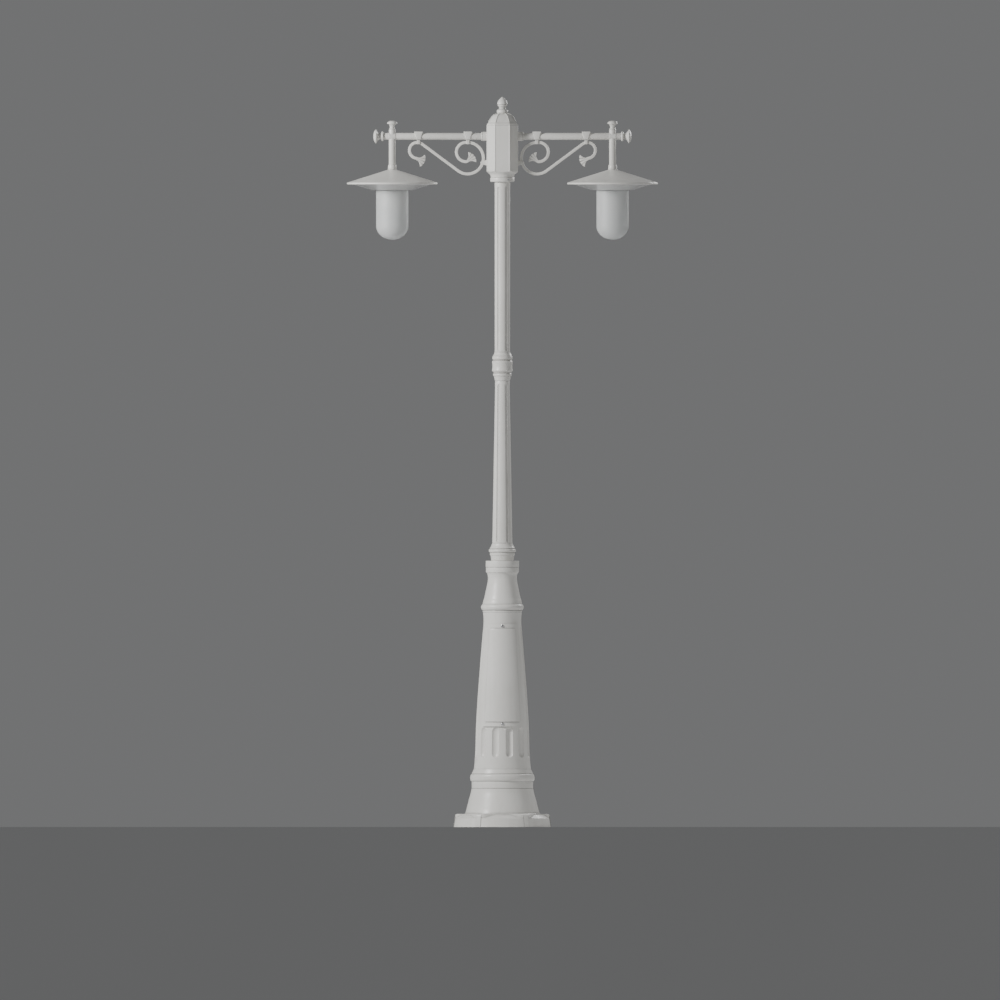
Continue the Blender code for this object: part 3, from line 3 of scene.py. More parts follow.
import bpy
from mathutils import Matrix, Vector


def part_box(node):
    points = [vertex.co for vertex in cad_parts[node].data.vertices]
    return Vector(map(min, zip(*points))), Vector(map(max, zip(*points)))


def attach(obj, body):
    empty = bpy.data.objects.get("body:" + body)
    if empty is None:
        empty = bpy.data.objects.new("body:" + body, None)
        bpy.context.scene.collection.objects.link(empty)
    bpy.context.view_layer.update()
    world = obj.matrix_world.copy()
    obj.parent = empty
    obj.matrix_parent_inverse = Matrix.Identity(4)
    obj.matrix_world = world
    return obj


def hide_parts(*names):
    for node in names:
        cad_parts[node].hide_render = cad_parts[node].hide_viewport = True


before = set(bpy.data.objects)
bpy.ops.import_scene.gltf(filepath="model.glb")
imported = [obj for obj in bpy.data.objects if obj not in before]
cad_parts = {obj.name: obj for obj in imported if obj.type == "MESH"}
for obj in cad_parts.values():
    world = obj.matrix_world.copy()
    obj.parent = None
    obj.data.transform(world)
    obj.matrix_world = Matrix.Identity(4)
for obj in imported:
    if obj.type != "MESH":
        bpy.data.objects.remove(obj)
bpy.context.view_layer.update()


# ---- Base plinth ----
# The foot of the post is one iron casting with a round rim, a flat step and a tall flare.
# Six shallow bays are cast into the rim, with a narrow rib between each two, and the whole
# foot is blasted, powder coated and bolted down through its floor.


def clear_selection():
    """Leaves object mode with nothing selected."""
    if bpy.context.mode != "OBJECT":
        bpy.ops.object.mode_set(mode="OBJECT")
    bpy.ops.object.select_all(action="DESELECT")


def pick(piece):
    """Makes one piece the only selected and active one."""
    clear_selection()
    piece.select_set(True)
    bpy.context.view_layer.objects.active = piece


def draw_line(name, points):
    """Starts a piece as a line of points, drawn by pulling one vertex along."""
    clear_selection()
    bpy.ops.mesh.primitive_plane_add(size=0.001, location=(0, 0, 0))
    piece = bpy.context.object
    piece.name = name
    bpy.ops.object.mode_set(mode="EDIT")
    bpy.ops.mesh.select_all(action="SELECT")
    bpy.ops.mesh.merge(type="CENTER")
    bpy.ops.transform.translate(value=points[0])
    for here, after in zip(points, points[1:]):
        step = tuple(b - a for a, b in zip(here, after))
        bpy.ops.mesh.extrude_vertices_move(TRANSFORM_OT_translate={"value": step})
    return piece


def close_up(merge=0.00001):
    """Merges doubles and turns every face outwards, then leaves edit mode."""
    bpy.ops.mesh.select_all(action="SELECT")
    bpy.ops.mesh.remove_doubles(threshold=merge)
    bpy.ops.mesh.normals_make_consistent(inside=False)
    bpy.ops.object.mode_set(mode="OBJECT")


def turn_on_lathe(name, outline, sides=96):
    """Spins a (radius, height) outline round the upright axis. An outline off the axis is closed."""
    points = [(radius, 0.0, height) for radius, height in outline]
    if outline[0][0] > 0:
        points.append(points[0])
    piece = draw_line(name, points)
    bpy.ops.mesh.select_all(action="SELECT")
    bpy.ops.mesh.spin(steps=sides, angle=math.tau, center=(0, 0, 0), axis=(0, 0, 1))
    close_up()
    return piece


def ease(outline, amount=0.0006, least_turn=0.35):
    """Rounds the corners of an outline a little, as casting and coating leave them."""
    eased = [outline[0]]
    for before, here, after in zip(outline, outline[1:], outline[2:]):
        one = (here[0] - before[0], here[1] - before[1])
        two = (after[0] - here[0], after[1] - here[1])
        size_one, size_two = math.hypot(*one), math.hypot(*two)
        turned = abs(math.atan2(one[0] * two[1] - one[1] * two[0], one[0] * two[0]
                                + one[1] * two[1]))
        back = min(amount, 0.42 * size_one, 0.42 * size_two)
        if turned < least_turn:
            eased.append(here)
            continue
        start = (here[0] - one[0] / size_one * back, here[1] - one[1] / size_one * back)
        end = (here[0] + two[0] / size_two * back, here[1] + two[1] / size_two * back)
        middle = tuple(0.25 * a + 0.5 * b + 0.25 * c for a, b, c in zip(start, here, end))
        eased += [start, middle, end]
    return eased + [outline[-1]]


def bead(root, crest, low, high, steps=10):
    """Points of a half-round bead from one height to another."""
    half = (high - low) / 2
    angles = [math.pi * step / steps for step in range(steps + 1)]
    return [(root + (crest - root) * math.sin(a), low + half * (1 - math.cos(a))) for a in angles]


def flow(points, steps=5):
    """A smooth line through a few points."""
    line = []
    ends = [points[0], *points, points[-1]]
    for a, b, c, d in zip(ends, ends[1:], ends[2:], ends[3:]):
        for step in range(steps):
            t = step / steps
            line.append(
                tuple(
                    0.5 * (2 * q + (r - p) * t + (2 * p - 5 * q + 4 * r - s) * t**2
                           + (3 * q - p - 3 * r + s) * t**3)
                    for p, q, r, s in zip(a, b, c, d)
                )
            )
    return line + [points[-1]]


def use_modifier(piece, kind, **settings):
    """Adds a modifier to a piece and applies it."""
    pick(piece)
    modifier = piece.modifiers.new(kind.title(), kind)
    for key, value in settings.items():
        setattr(modifier, key, value)
    bpy.ops.object.modifier_apply(modifier=modifier.name)


def cut_away(piece, *tools, keep="DIFFERENCE"):
    """Cuts each tool out of a piece, or joins it on, and throws the tool away."""
    for tool in tools:
        use_modifier(piece, "BOOLEAN", operation=keep, object=tool, solver="EXACT")
        bpy.data.objects.remove(tool, do_unlink=True)
    return piece


def copy_of(piece, name, turned=0.0, shift=(0.0, 0.0, 0.0)):
    """A copy with its own mesh, turned about the column's axis and moved."""
    made = piece.copy()
    made.data = piece.data.copy()
    made.name = made.data.name = name
    bpy.context.scene.collection.objects.link(made)
    return set_down(made, shift, (0.0, 0.0, turned))


def set_down(piece, place=(0.0, 0.0, 0.0), turned=(0.0, 0.0, 0.0)):
    """Turns and moves a piece, and takes its place into its mesh."""
    pick(piece)
    piece.location = place
    piece.rotation_euler = turned
    bpy.ops.object.transform_apply(location=True, rotation=True, scale=True)
    return piece


def fit(piece, body, slot, finish, *nodes, crease=32):
    """Shades a finished piece, coats it and hands it over to the body it rides on."""
    pick(piece)
    bpy.ops.object.shade_smooth_by_angle(angle=math.radians(crease))
    piece.data.name = piece.name
    piece.data.materials.clear()
    piece.data.materials.append(finish)
    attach(piece, body)
    if nodes:
        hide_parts(*nodes)
    return piece


def start_finish(name):
    """A new material with its node tree and shader."""
    made = bpy.data.materials.new(name)
    made.use_nodes = True
    tree = made.node_tree
    return made, tree, tree.nodes["Principled BSDF"]


def add_node(tree, kind, settings=None, **sockets):
    """Adds a node. A socket takes a value or another node's output."""
    made = tree.nodes.new(kind)
    for key, value in (settings or {}).items():
        setattr(made, key, value)
    for key, value in sockets.items():
        target = made.inputs[key.replace("_", " ")]
        if isinstance(value, bpy.types.NodeSocket):
            tree.links.new(value, target)
        else:
            target.default_value = value
    return made


def on_object(tree, scale=(1.0, 1.0, 1.0)):
    """Object coordinates, stretched for streaks or grain."""
    coordinate = tree.nodes.new("ShaderNodeTexCoord")
    return add_node(tree, "ShaderNodeMapping", Vector=coordinate.outputs["Object"],
                    Scale=scale).outputs["Vector"]


def grain(tree, scale, detail=3.0, stretch=(1.0, 1.0, 1.0)):
    """The strength of a fine random pattern on the object."""
    where = on_object(tree, stretch)
    return add_node(tree, "ShaderNodeTexNoise", Vector=where, Scale=scale,
                    Detail=detail).outputs["Fac"]


def ramp(tree, value, *stops):
    """Colours along a value, given as (place, colour) stops."""
    made = add_node(tree, "ShaderNodeValToRGB", Fac=value)
    band = made.color_ramp
    while len(band.elements) < len(stops):
        band.elements.new(0.5)
    for element, (place, colour) in zip(band.elements, stops):
        element.position = place
        element.color = (*colour, 1.0) if len(colour) == 3 else colour
    return made.outputs["Color"]


def between(tree, value, low, high, new_low, new_high):
    """Stretches a value from one range to another."""
    made = add_node(tree, "ShaderNodeMapRange", Value=value, From_Min=low, From_Max=high)
    made.inputs["To Min"].default_value = new_low
    made.inputs["To Max"].default_value = new_high
    return made.outputs["Result"]


def mix(tree, share, first, second, how="MIX"):
    """Mixes two colours, each a plain colour or another node's output."""
    made = tree.nodes.new("ShaderNodeMix")
    made.data_type, made.blend_type = "RGBA", how
    for index, value in ((0, share), (6, first), (7, second)):
        if isinstance(value, bpy.types.NodeSocket):
            tree.links.new(value, made.inputs[index])
        else:
            made.inputs[index].default_value = value if index == 0 else (*value, 1.0)
    return made.outputs[2]


def multiply(tree, first, second):
    """The product of two values, each a number or another node's output."""
    made = add_node(tree, "ShaderNodeMath", {"operation": "MULTIPLY"})
    for index, value in enumerate((first, second)):
        if isinstance(value, bpy.types.NodeSocket):
            tree.links.new(value, made.inputs[index])
        else:
            made.inputs[index].default_value = value
    return made.outputs[0]


def set_roughness(tree, shader, scale, low, high):
    """Lets the roughness wander between two values, in patches of one size."""
    patches = between(tree, grain(tree, scale), 0.3, 0.7, low, high)
    tree.links.new(patches, shader.inputs["Roughness"])


def set_relief(tree, shader, *layers):
    """Puts (height, strength, distance) layers of fine relief on a surface, each over the last."""
    under = None
    for height, strength, distance in layers:
        bump = add_node(tree, "ShaderNodeBump", Strength=strength, Distance=distance, Height=height)
        if under:
            tree.links.new(under.outputs["Normal"], bump.inputs["Normal"])
        under = bump
    tree.links.new(under.outputs["Normal"], shader.inputs["Normal"])


def powder_coat():
    """Off-white satin powder coat: fine orange peel, faint rain streaks, and painted shade darkening
    the recesses.
    """
    made, tree, shader = start_finish("powder_coat")
    tone = ramp(tree, grain(tree, 7.0), (0.3, (0.74, 0.73, 0.69)), (0.7, (0.81, 0.80, 0.765)))
    streaks = between(tree, grain(tree, 1.0, 4.0, (60.0, 60.0, 5.0)), 0.50, 0.78, 0.0, 0.16)
    streaked = mix(tree, streaks, tone, (0.50, 0.48, 0.43))
    # Painted shade: an occlusion mask darkens the coat almost to black in creases and recesses, broken
    # into patches by fine noise.
    shade = add_node(tree, "ShaderNodeAmbientOcclusion", {"samples": 8, "only_local": True},
                     Distance=0.011)
    broken = between(tree, grain(tree, 90.0, 4.0), 0.30, 0.70, 0.65, 1.0)
    recess_shade_mask = between(tree, shade.outputs["AO"], 0.93, 0.58, 0.0, 0.92)
    painted_recess_shade = mix(tree, multiply(tree, recess_shade_mask, broken), streaked, (0.085, 0.080, 0.072))
    tree.links.new(painted_recess_shade, shader.inputs["Base Color"])
    set_roughness(tree, shader, 35.0, 0.34, 0.47)
    peel = (grain(tree, 950.0, 2.0), 0.22, 0.00025)
    cast = (grain(tree, 110.0, 3.0), 0.20, 0.0006)
    set_relief(tree, shader, peel, cast)
    shader.inputs["Coat Weight"].default_value = 0.12
    shader.inputs["Coat Roughness"].default_value = 0.25
    return made


coat = powder_coat()

plinth_flare = flow(
    [(0.1176, 0.0425), (0.1139, 0.054), (0.1111, 0.065), (0.1082, 0.076), (0.1054, 0.087),
     (0.1023, 0.098), (0.0993, 0.109), (0.0973, 0.1200)],
    3,
)
base = turn_on_lathe(
    "plinth_casting",
    ease([(0.0680, 0.0), (0.1536, 0.0), (0.1500, 0.0270), (0.1494, 0.0335)], 0.0009)
    + [(0.1489, 0.0366), (0.1473, 0.0391), (0.1449, 0.0406), (0.1425, 0.0410)]
    + [(0.1210, 0.0410), (0.1189, 0.0414)]
    + plinth_flare
    + [(0.0972, 0.1206), (0.0960, 0.1211), (0.0960, 0.1219), (0.0966, 0.1226)]
    + ease([(0.0966, 0.1240), (0.0966, 0.1429), (0.0906, 0.1429), (0.1109, 0.0350),
            (0.1109, 0.0120), (0.0680, 0.0120)]),
    120,
)


def bay_tool():
    """What one bay takes off the rim: a wide slanted facet that thins out towards both ends."""
    facet_top, facet_foot = (0.1345, 0.0378), (0.1484, 0.0270)
    half, flat_half = math.radians(27), math.radians(9)
    section = [(0.1526, -0.0010), facet_foot, facet_top, (0.1345, 0.0440), (0.1600, 0.0440),
               (0.1600, -0.0010)]
    first = [(r * math.sin(-half), -r * math.cos(half), z) for r, z in section]
    tool = draw_line("bay_tool", first)
    bpy.ops.mesh.select_all(action="SELECT")
    bpy.ops.mesh.edge_face_add()
    bpy.ops.mesh.spin(steps=24, angle=2 * half, center=(0, 0, 0), axis=(0, 0, -1))
    close_up()
    for vertex in tool.data.vertices:
        x, y, z = vertex.co
        radius, angle = math.hypot(x, y), abs(math.atan2(x, -y))
        if abs(radius - facet_top[0]) >= 0.0004:
            continue
        share = min(1.0, max(0.0, (angle - flat_half) / (half - flat_half)))
        share = share * share * (3 - 2 * share) * 0.97
        moved = facet_top[0] + (facet_foot[0] - facet_top[0]) * share
        if z < 0.04:
            z = facet_top[1] + (facet_foot[1] - facet_top[1]) * share
        vertex.co = (x * moved / radius, y * moved / radius, z)
    return tool


bay = bay_tool()
for number in range(1, 6):
    cut_away(base, copy_of(bay, f"bay_tool_{number}", number * math.tau / 6))
cut_away(base, bay)

BOLT_CIRCLE = 0.088
for number in range(4):
    angle = (number + 0.5) * math.tau / 4
    clear_selection()
    bpy.ops.mesh.primitive_cylinder_add(
        vertices=32, radius=0.0070, depth=0.05, location=(BOLT_CIRCLE * math.cos(angle),
                                                          BOLT_CIRCLE * math.sin(angle), 0)
    )
    cut_away(base, bpy.context.object)
fit(base, "post", "powder_coat", coat, "base_plinth", crease=28)


# ---- Anchor bolts ----
# Four zinc-plated threaded studs stand in the concrete on a circle inside the foot. Each holds
# the plinth's floor down with a washer and a hexagon nut, reached through the door.


def zinc_plate():
    """Zinc plating: pale crystals of slightly different grey, dull where the hand has been."""
    made, tree, shader = start_finish("zinc_plate")
    cells = add_node(tree, "ShaderNodeTexVoronoi", Vector=on_object(tree), Scale=260.0)
    crystals = ramp(tree, cells.outputs["Color"], (0.2, (0.46, 0.47, 0.49)),
                    (0.8, (0.63, 0.64, 0.66)))
    stained = mix(tree, between(tree, grain(tree, 60.0, 4.0), 0.45, 0.75, 0.0, 0.5), crystals,
                  (0.42, 0.40, 0.36))
    tree.links.new(stained, shader.inputs["Base Color"])
    shader.inputs["Metallic"].default_value = 1.0
    set_roughness(tree, shader, 150.0, 0.32, 0.50)
    set_relief(tree, shader, (grain(tree, 700.0), 0.2, 0.0002))
    return made


zinc = zinc_plate()


def threaded(radius, low, high, pitch, depth):
    """Outline of a thread's ridges up a rod."""
    count = int((high - low) / pitch)
    line = []
    for turn in range(count):
        foot = low + turn * pitch
        line += [(radius - depth, foot + 0.15 * pitch), (radius, foot + 0.5 * pitch),
                 (radius - depth, foot + 0.85 * pitch)]
    return line


def anchor_bolt(name):
    """A stud with its washer and nut, standing on the axis."""
    bolt = turn_on_lathe(
        name,
        [(0.0, 0.0005), (0.0054, 0.0005), (0.0054, 0.0118), (0.0054, 0.0250)]
        + threaded(0.0060, 0.0252, 0.0428, 0.0016, 0.0007)
        + [(0.0050, 0.0432), (0.0042, 0.0440), (0.0, 0.0440)],
        32,
    )
    washer = turn_on_lathe(
        "washer", ease([(0.0052, 0.0123), (0.0120, 0.0123), (0.0120, 0.0147), (0.0052, 0.0147)],
                       0.0004), 48
    )
    clear_selection()
    bpy.ops.mesh.primitive_cylinder_add(vertices=6, radius=0.0111, depth=0.0100,
                                        location=(0, 0, 0.0198))
    nut = bpy.context.object
    crown = turn_on_lathe(
        "nut_crown", [(0.0, 0.0148), (0.0098, 0.0148), (0.0113, 0.0156), (0.0113, 0.0240),
                      (0.0098, 0.0248), (0.0, 0.0248)], 48
    )
    cut_away(nut, crown, keep="INTERSECT")
    return cut_away(bolt, washer, nut, keep="UNION")


bolt = anchor_bolt("foundation_stud_1")
set_down(bolt, (BOLT_CIRCLE * math.cos(math.pi / 4), BOLT_CIRCLE * math.sin(math.pi / 4), 0.0))
for number in (2, 3, 4):
    stud = copy_of(bolt, f"foundation_stud_{number}", (number - 1) * math.tau / 4)
    fit(stud, "post", "zinc_plate", zinc, f"anchor_bolt_{number}")
fit(bolt, "post", "zinc_plate", zinc, "anchor_bolt_1")


# ---- Pedestal body ----
# A hollow iron casting with a full bead at its foot, a slightly swelling taper and twelve
# round-ended flutes. The front flutes stop under the door, and an opening behind the door
# lets a hand in. It stands on the plinth and carries the cap.

body_line = flow(
    [(0.0896, 0.1832), (0.0879, 0.199), (0.0869, 0.214), (0.0854, 0.237), (0.0841, 0.280),
     (0.0823, 0.335), (0.0772, 0.418), (0.0720, 0.487), (0.0665, 0.557), (0.0611, 0.6200),
     (0.0595, 0.640), (0.0593, 0.652), (0.0598, 0.663), (0.0608, 0.672), (0.0609, 0.6758)],
    4,
)


def body_radius(height):
    """Radius of the pedestal's plain surface at a height."""
    for (near, low), (far, high) in zip(body_line, body_line[1:]):
        if low <= height <= high:
            return near + (far - near) * (height - low) / (high - low)
    return body_line[-1][0]


inner_line = [(radius - 0.006, height) for radius, height in body_line[::-4]]
pedestal = turn_on_lathe(
    "pedestal_casting",
    [(0.0906, 0.1434), (0.0962, 0.1434)]
    + bead(0.0966, 0.1014, 0.1440, 0.1664, 12)
    + [(0.0962, 0.1668), (0.0957, 0.1676), (0.0963, 0.1684)]
    + [(0.0962, 0.1690), (0.0902, 0.1820), (0.0895, 0.1824)]
    + body_line
    + inner_line
    + [(0.0896, 0.1700)],
    120,
)


def rounded_rod(name, path, sides=28):
    """A rod of changing thickness with round ends, along (distance out, height, radius) points."""
    out, height, radius = path[0]
    clear_selection()
    bpy.ops.mesh.primitive_circle_add(
        vertices=sides, radius=radius * math.sin(0.2),
        location=(out, 0, height - radius * math.cos(0.2)), fill_type="NGON"
    )
    rod = bpy.context.object
    rod.name = name
    bpy.ops.object.transform_apply(location=True, rotation=True, scale=True)
    bpy.ops.object.mode_set(mode="EDIT")
    last_out, last_height, last_size = out, height - radius * math.cos(0.2), radius * math.sin(0.2)
    rings = [(out, height - radius * math.cos(a), radius * math.sin(a)) for a in (0.45, 0.75, 1.1)]
    rings += list(path)
    out, height, radius = path[-1]
    rings += [(out, height + radius * math.cos(a), radius * math.sin(a))
              for a in (1.1, 0.75, 0.45, 0.2)]
    for out, height, size in rings:
        bpy.ops.mesh.extrude_region_move(TRANSFORM_OT_translate={"value": (out - last_out, 0,
            height - last_height)})
        grown = size / last_size
        bpy.ops.transform.resize(value=(grown, grown, 1), center_override=(out, 0, height))
        last_out, last_height, last_size = out, height, size
    close_up()
    return rod


def flute_tool(name, low, high, half_angle, depth_share):
    """The round-nosed tool for one pedestal flute, which follows the swelling body."""
    path = []
    steps = max(2, round((high - low) / 0.018))
    for step in range(steps + 1):
        height = low + (high - low) * step / steps
        radius = body_radius(height)
        half = radius * math.sin(half_angle)
        depth = half * depth_share
        size = (half * half + depth * depth) / (2 * depth)
        path.append((radius * math.cos(half_angle) + size - depth, height, size))
    first, last = path[0][2], path[-1][2]
    return rounded_rod(name, [(o, h, s) for o, h, s in path if low
                              + 0.6 * first <= h <= high - 0.6 * last])


long_flute = flute_tool("long_flute", 0.214, 0.642, math.radians(8), 0.42)
short_flute = flute_tool("short_flute", 0.214, 0.3195, math.radians(8), 0.42)
for number in range(12):
    angle = (number + 0.5) * math.tau / 12
    over_door = math.cos(angle) > math.cos(math.radians(50))
    source = short_flute if over_door else long_flute
    cut_away(pedestal, copy_of(source, f"flute_{number}", angle - math.pi / 2))
bpy.data.objects.remove(long_flute, do_unlink=True)
bpy.data.objects.remove(short_flute, do_unlink=True)

DOOR_LOW, DOOR_HIGH = 0.3167, 0.6400


def door_half(height):
    """Half the door's width at a height."""
    return 0.0643 + (0.0475 - 0.0643) * (height - DOOR_LOW) / (DOOR_HIGH - DOOR_LOW)


def door_blank(name, border_side, border_end, corner, near=-0.13, far=-0.02):
    """A tapered upright block with rounded corners, as wide as the door less a border."""
    low, high = DOOR_LOW + border_end, DOOR_HIGH - border_end
    wide, narrow = door_half(low) - border_side, door_half(high) - border_side
    outline = [(-wide, near, low), (wide, near, low), (narrow, near, high), (-narrow, near, high)]
    blank = draw_line(name, outline)
    bpy.ops.mesh.select_all(action="SELECT")
    bpy.ops.mesh.edge_face_add()
    bpy.ops.mesh.bevel(offset=corner, offset_pct=0, segments=6, affect="VERTICES")
    bpy.ops.mesh.select_all(action="SELECT")
    bpy.ops.mesh.extrude_region_move(TRANSFORM_OT_translate={"value": (0, far - near, 0)})
    close_up()
    return blank


cut_away(pedestal, door_blank("opening_tool", 0.0135, 0.0135, 0.006))
SCREW_HEIGHTS = {"bottom": 0.3241, "top": 0.6326}


TURNED_ALONG_Y, TURNED_ALONG_X = (math.pi / 2, 0, 0), (0, math.pi / 2, 0)


def drill(sides, radius, length, middle, turned):
    """A round cutter, laid along an axis round its middle."""
    clear_selection()
    bpy.ops.mesh.primitive_cylinder_add(vertices=sides, radius=radius, depth=length,
                                        location=middle)
    tool = bpy.context.object
    tool.rotation_euler = turned
    bpy.ops.object.transform_apply(location=True, rotation=True, scale=True)
    return tool


def door_bore(height, radius):
    """A thin bore through the pedestal's front for one door screw."""
    return drill(24, radius, 0.1, (0, -0.08, height), TURNED_ALONG_Y)


for height in SCREW_HEIGHTS.values():
    cut_away(pedestal, door_bore(height, 0.0026))
fit(pedestal, "post", "powder_coat", coat, "pedestal_body", crease=28)


# ---- Inspection door ----
# A thin cast cover that follows the pedestal's curve, with a raised panel, over a rubber frame.
# Two stainless button-head screws hold it, one near the top and one near the bottom.


def skin_off_body(name, inner, outer):
    """A shell that follows the pedestal's surface, from one distance off it to another."""
    line = [(radius, height) for radius, height in body_line if 0.300 < height < 0.660]
    out = [(radius + outer, height) for radius, height in line]
    back = [(radius + inner, height) for radius, height in line[::-1]]
    return turn_on_lathe(name, out + back, 144)


door = cut_away(skin_off_body("door_plate", 0.0020, 0.0048),
                door_blank("door_edge", 0.0, 0.0, 0.0055), keep="INTERSECT")
panel = cut_away(
    skin_off_body("door_panel", 0.0030, 0.0068), door_blank("panel_edge", 0.0075, 0.0148, 0.0030),
    keep="INTERSECT"
)
use_modifier(panel, "BEVEL", width=0.0011, segments=2, limit_method="ANGLE",
             angle_limit=math.radians(50))
cut_away(door, panel, keep="UNION")
for height in SCREW_HEIGHTS.values():
    cut_away(door, door_bore(height, 0.0027))
fit(door, "door", "powder_coat", coat, "door_cover", crease=30)


def black_rubber():
    """Black weather-strip rubber, dull and finely grained, greyed a little by dust."""
    made, tree, shader = start_finish("rubber_seal")
    tone = ramp(tree, grain(tree, 60.0, 4.0), (0.35, (0.020, 0.020, 0.020)),
                (0.75, (0.060, 0.058, 0.055)))
    tree.links.new(tone, shader.inputs["Base Color"])
    set_roughness(tree, shader, 200.0, 0.68, 0.88)
    set_relief(tree, shader, (grain(tree, 1200.0), 0.35, 0.0002))
    return made


rubber = black_rubber()
seal = cut_away(skin_off_body("door_seal", 0.0003, 0.0018),
                door_blank("seal_edge", 0.0006, 0.0006, 0.0050), keep="INTERSECT")
cut_away(seal, door_blank("seal_window", 0.0135, 0.0135, 0.0060))
for height in SCREW_HEIGHTS.values():
    cut_away(seal, door_bore(height, 0.0027))
fit(seal, "post", "rubber_seal", rubber, "door_gasket", crease=30)


def stainless():
    """Stainless steel with fine turning marks and a soft shine."""
    made, tree, shader = start_finish("stainless_steel")
    tone = ramp(tree, grain(tree, 45.0), (0.3, (0.54, 0.54, 0.55)), (0.7, (0.68, 0.68, 0.68)))
    tree.links.new(tone, shader.inputs["Base Color"])
    shader.inputs["Metallic"].default_value = 1.0
    marks = grain(tree, 300.0, 2.0, (8.0, 1.0, 8.0))
    tree.links.new(between(tree, marks, 0.3, 0.7, 0.20, 0.36), shader.inputs["Roughness"])
    set_relief(tree, shader, (marks, 0.12, 0.0001))
    return made


steel = stainless()
for end, height in SCREW_HEIGHTS.items():
    seat = body_radius(height) + 0.0050
    screw = turn_on_lathe(
        f"cover_screw_{end}",
        [(0.0, -0.0138), (0.0014, -0.0138), (0.0020, -0.0130)]
        + threaded(0.0020, -0.0128, -0.0042, 0.0008, 0.0003)
        + [(0.0020, -0.0030), (0.0020, 0.0)]
        + ease([(0.0020, 0.0), (0.0050, 0.0), (0.0050, 0.0009)], 0.0003)
        + [(0.0048, 0.0014), (0.0042, 0.0020), (0.0033, 0.0025), (0.0021, 0.0028), (0.0, 0.0029)],
        48,
    )
    clear_selection()
    bpy.ops.mesh.primitive_cylinder_add(vertices=6, radius=0.0018, depth=0.0030,
                                        location=(0, 0, 0.0029))
    socket = bpy.context.object
    bpy.ops.object.mode_set(mode="EDIT")
    bpy.ops.mesh.select_all(action="SELECT")
    bpy.ops.mesh.bevel(offset=0.0001, segments=1)
    bpy.ops.object.mode_set(mode="OBJECT")
    cut_away(screw, socket)
    set_down(screw, (0.0, -seat, height), (math.pi / 2, 0.0, 0.0))
    fit(screw, "door", "stainless_steel", steel, f"door_screw_{end}")


# ---- Wiring tray ----
# Behind the door a folded zinc-plated plate stands on two feet against the back wall. It
# carries a four-way terminal block, a fuse carrier and the earth stud.


def block_of(name, low, high, corner=0.0):
    """A block between two corners, with its edges rounded."""
    clear_selection()
    middle = [(a + b) / 2 for a, b in zip(low, high)]
    bpy.ops.mesh.primitive_cube_add(size=1, location=middle)
    block = bpy.context.object
    block.name = name
    block.scale = [b - a for a, b in zip(low, high)]
    bpy.ops.object.transform_apply(location=True, rotation=True, scale=True)
    if corner:
        use_modifier(block, "BEVEL", width=corner, segments=3, limit_method="ANGLE")
    return block


tray_low, tray_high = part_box("wiring_tray")
tray = block_of("wiring_tray_plate", (-0.024, 0.0120, tray_low.z), (0.024, 0.0145, tray_high.z),
                0.0006)
for side in (-1, 1):
    inner, outer = sorted((side * 0.0218, side * 0.0240))
    cut_away(tray, block_of("tray_flange", (inner, 0.0125, tray_low.z + 0.004),
                            (outer, 0.0210, tray_high.z - 0.004), 0.0005), keep="UNION")
for foot, reach in ((tray_low.z + 0.020, 0.0700), (tray_high.z - 0.030, 0.0600)):
    cut_away(tray, block_of("tray_foot", (-0.0060, 0.0135, foot), (0.0060, reach, foot + 0.0100),
                            0.0008), keep="UNION")
for hole in (tray_low.z + 0.006, tray_high.z - 0.006):
    cut_away(tray, block_of("tray_slot", (-0.0060, 0.0, hole - 0.0020),
                            (0.0060, 0.03, hole + 0.0020), 0.0015))
fit(tray, "post", "zinc_plate", zinc, "wiring_tray")


def moulded_plastic():
    """Pale grey moulded plastic with a fine spark-eroded texture."""
    made, tree, shader = start_finish("moulded_plastic")
    tone = ramp(tree, grain(tree, 25.0), (0.3, (0.60, 0.60, 0.58)), (0.7, (0.68, 0.68, 0.655)))
    tree.links.new(tone, shader.inputs["Base Color"])
    set_roughness(tree, shader, 120.0, 0.38, 0.52)
    set_relief(tree, shader, (grain(tree, 1600.0), 0.25, 0.0001))
    return made


plastic = moulded_plastic()
low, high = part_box("terminal_block")
terminals = block_of("terminal_strip", low, high, 0.0008)
pitch = (high.x - low.x) / 4
for way in range(4):
    centre = low.x + (way + 0.5) * pitch
    cut_away(
        terminals,
        block_of("wire_entry", (centre - 0.0034, low.y - 0.01, low.z + 0.0180),
                 (centre + 0.0034, low.y + 0.0120, low.z + 0.0240), 0.0010),
        block_of("lower_entry", (centre - 0.0034, low.y - 0.01, low.z + 0.0030),
                 (centre + 0.0034, low.y + 0.0080, low.z + 0.0080), 0.0010),
    )
    cut_away(terminals, drill(24, 0.0030, 0.008, (centre, low.y, low.z + 0.0130), TURNED_ALONG_Y))
for wall in range(1, 4):
    x = low.x + wall * pitch
    cut_away(terminals, block_of("way_groove", (x - 0.0004, low.y - 0.001, low.z - 0.001),
                                 (x + 0.0004, low.y + 0.0012, high.z + 0.001)))
fit(terminals, "post", "moulded_plastic", plastic, "terminal_block")
for way in range(4):
    centre = low.x + (way + 0.5) * pitch
    clamp_screw = turn_on_lathe(
        f"terminal_screw_{way + 1}",
        ease([(0.0, 0.0), (0.0026, 0.0), (0.0026, 0.0024), (0.0, 0.0024)], 0.0003), 32
    )
    cut_away(clamp_screw, block_of("driver_slot", (-0.003, -0.0003, 0.0016),
                                   (0.003, 0.0003, 0.0040)))
    set_down(clamp_screw, (centre, low.y + 0.0038, low.z + 0.0130), (math.pi / 2, 0.0, 0.3 * way))
    fit(clamp_screw, "post", "zinc_plate", zinc)

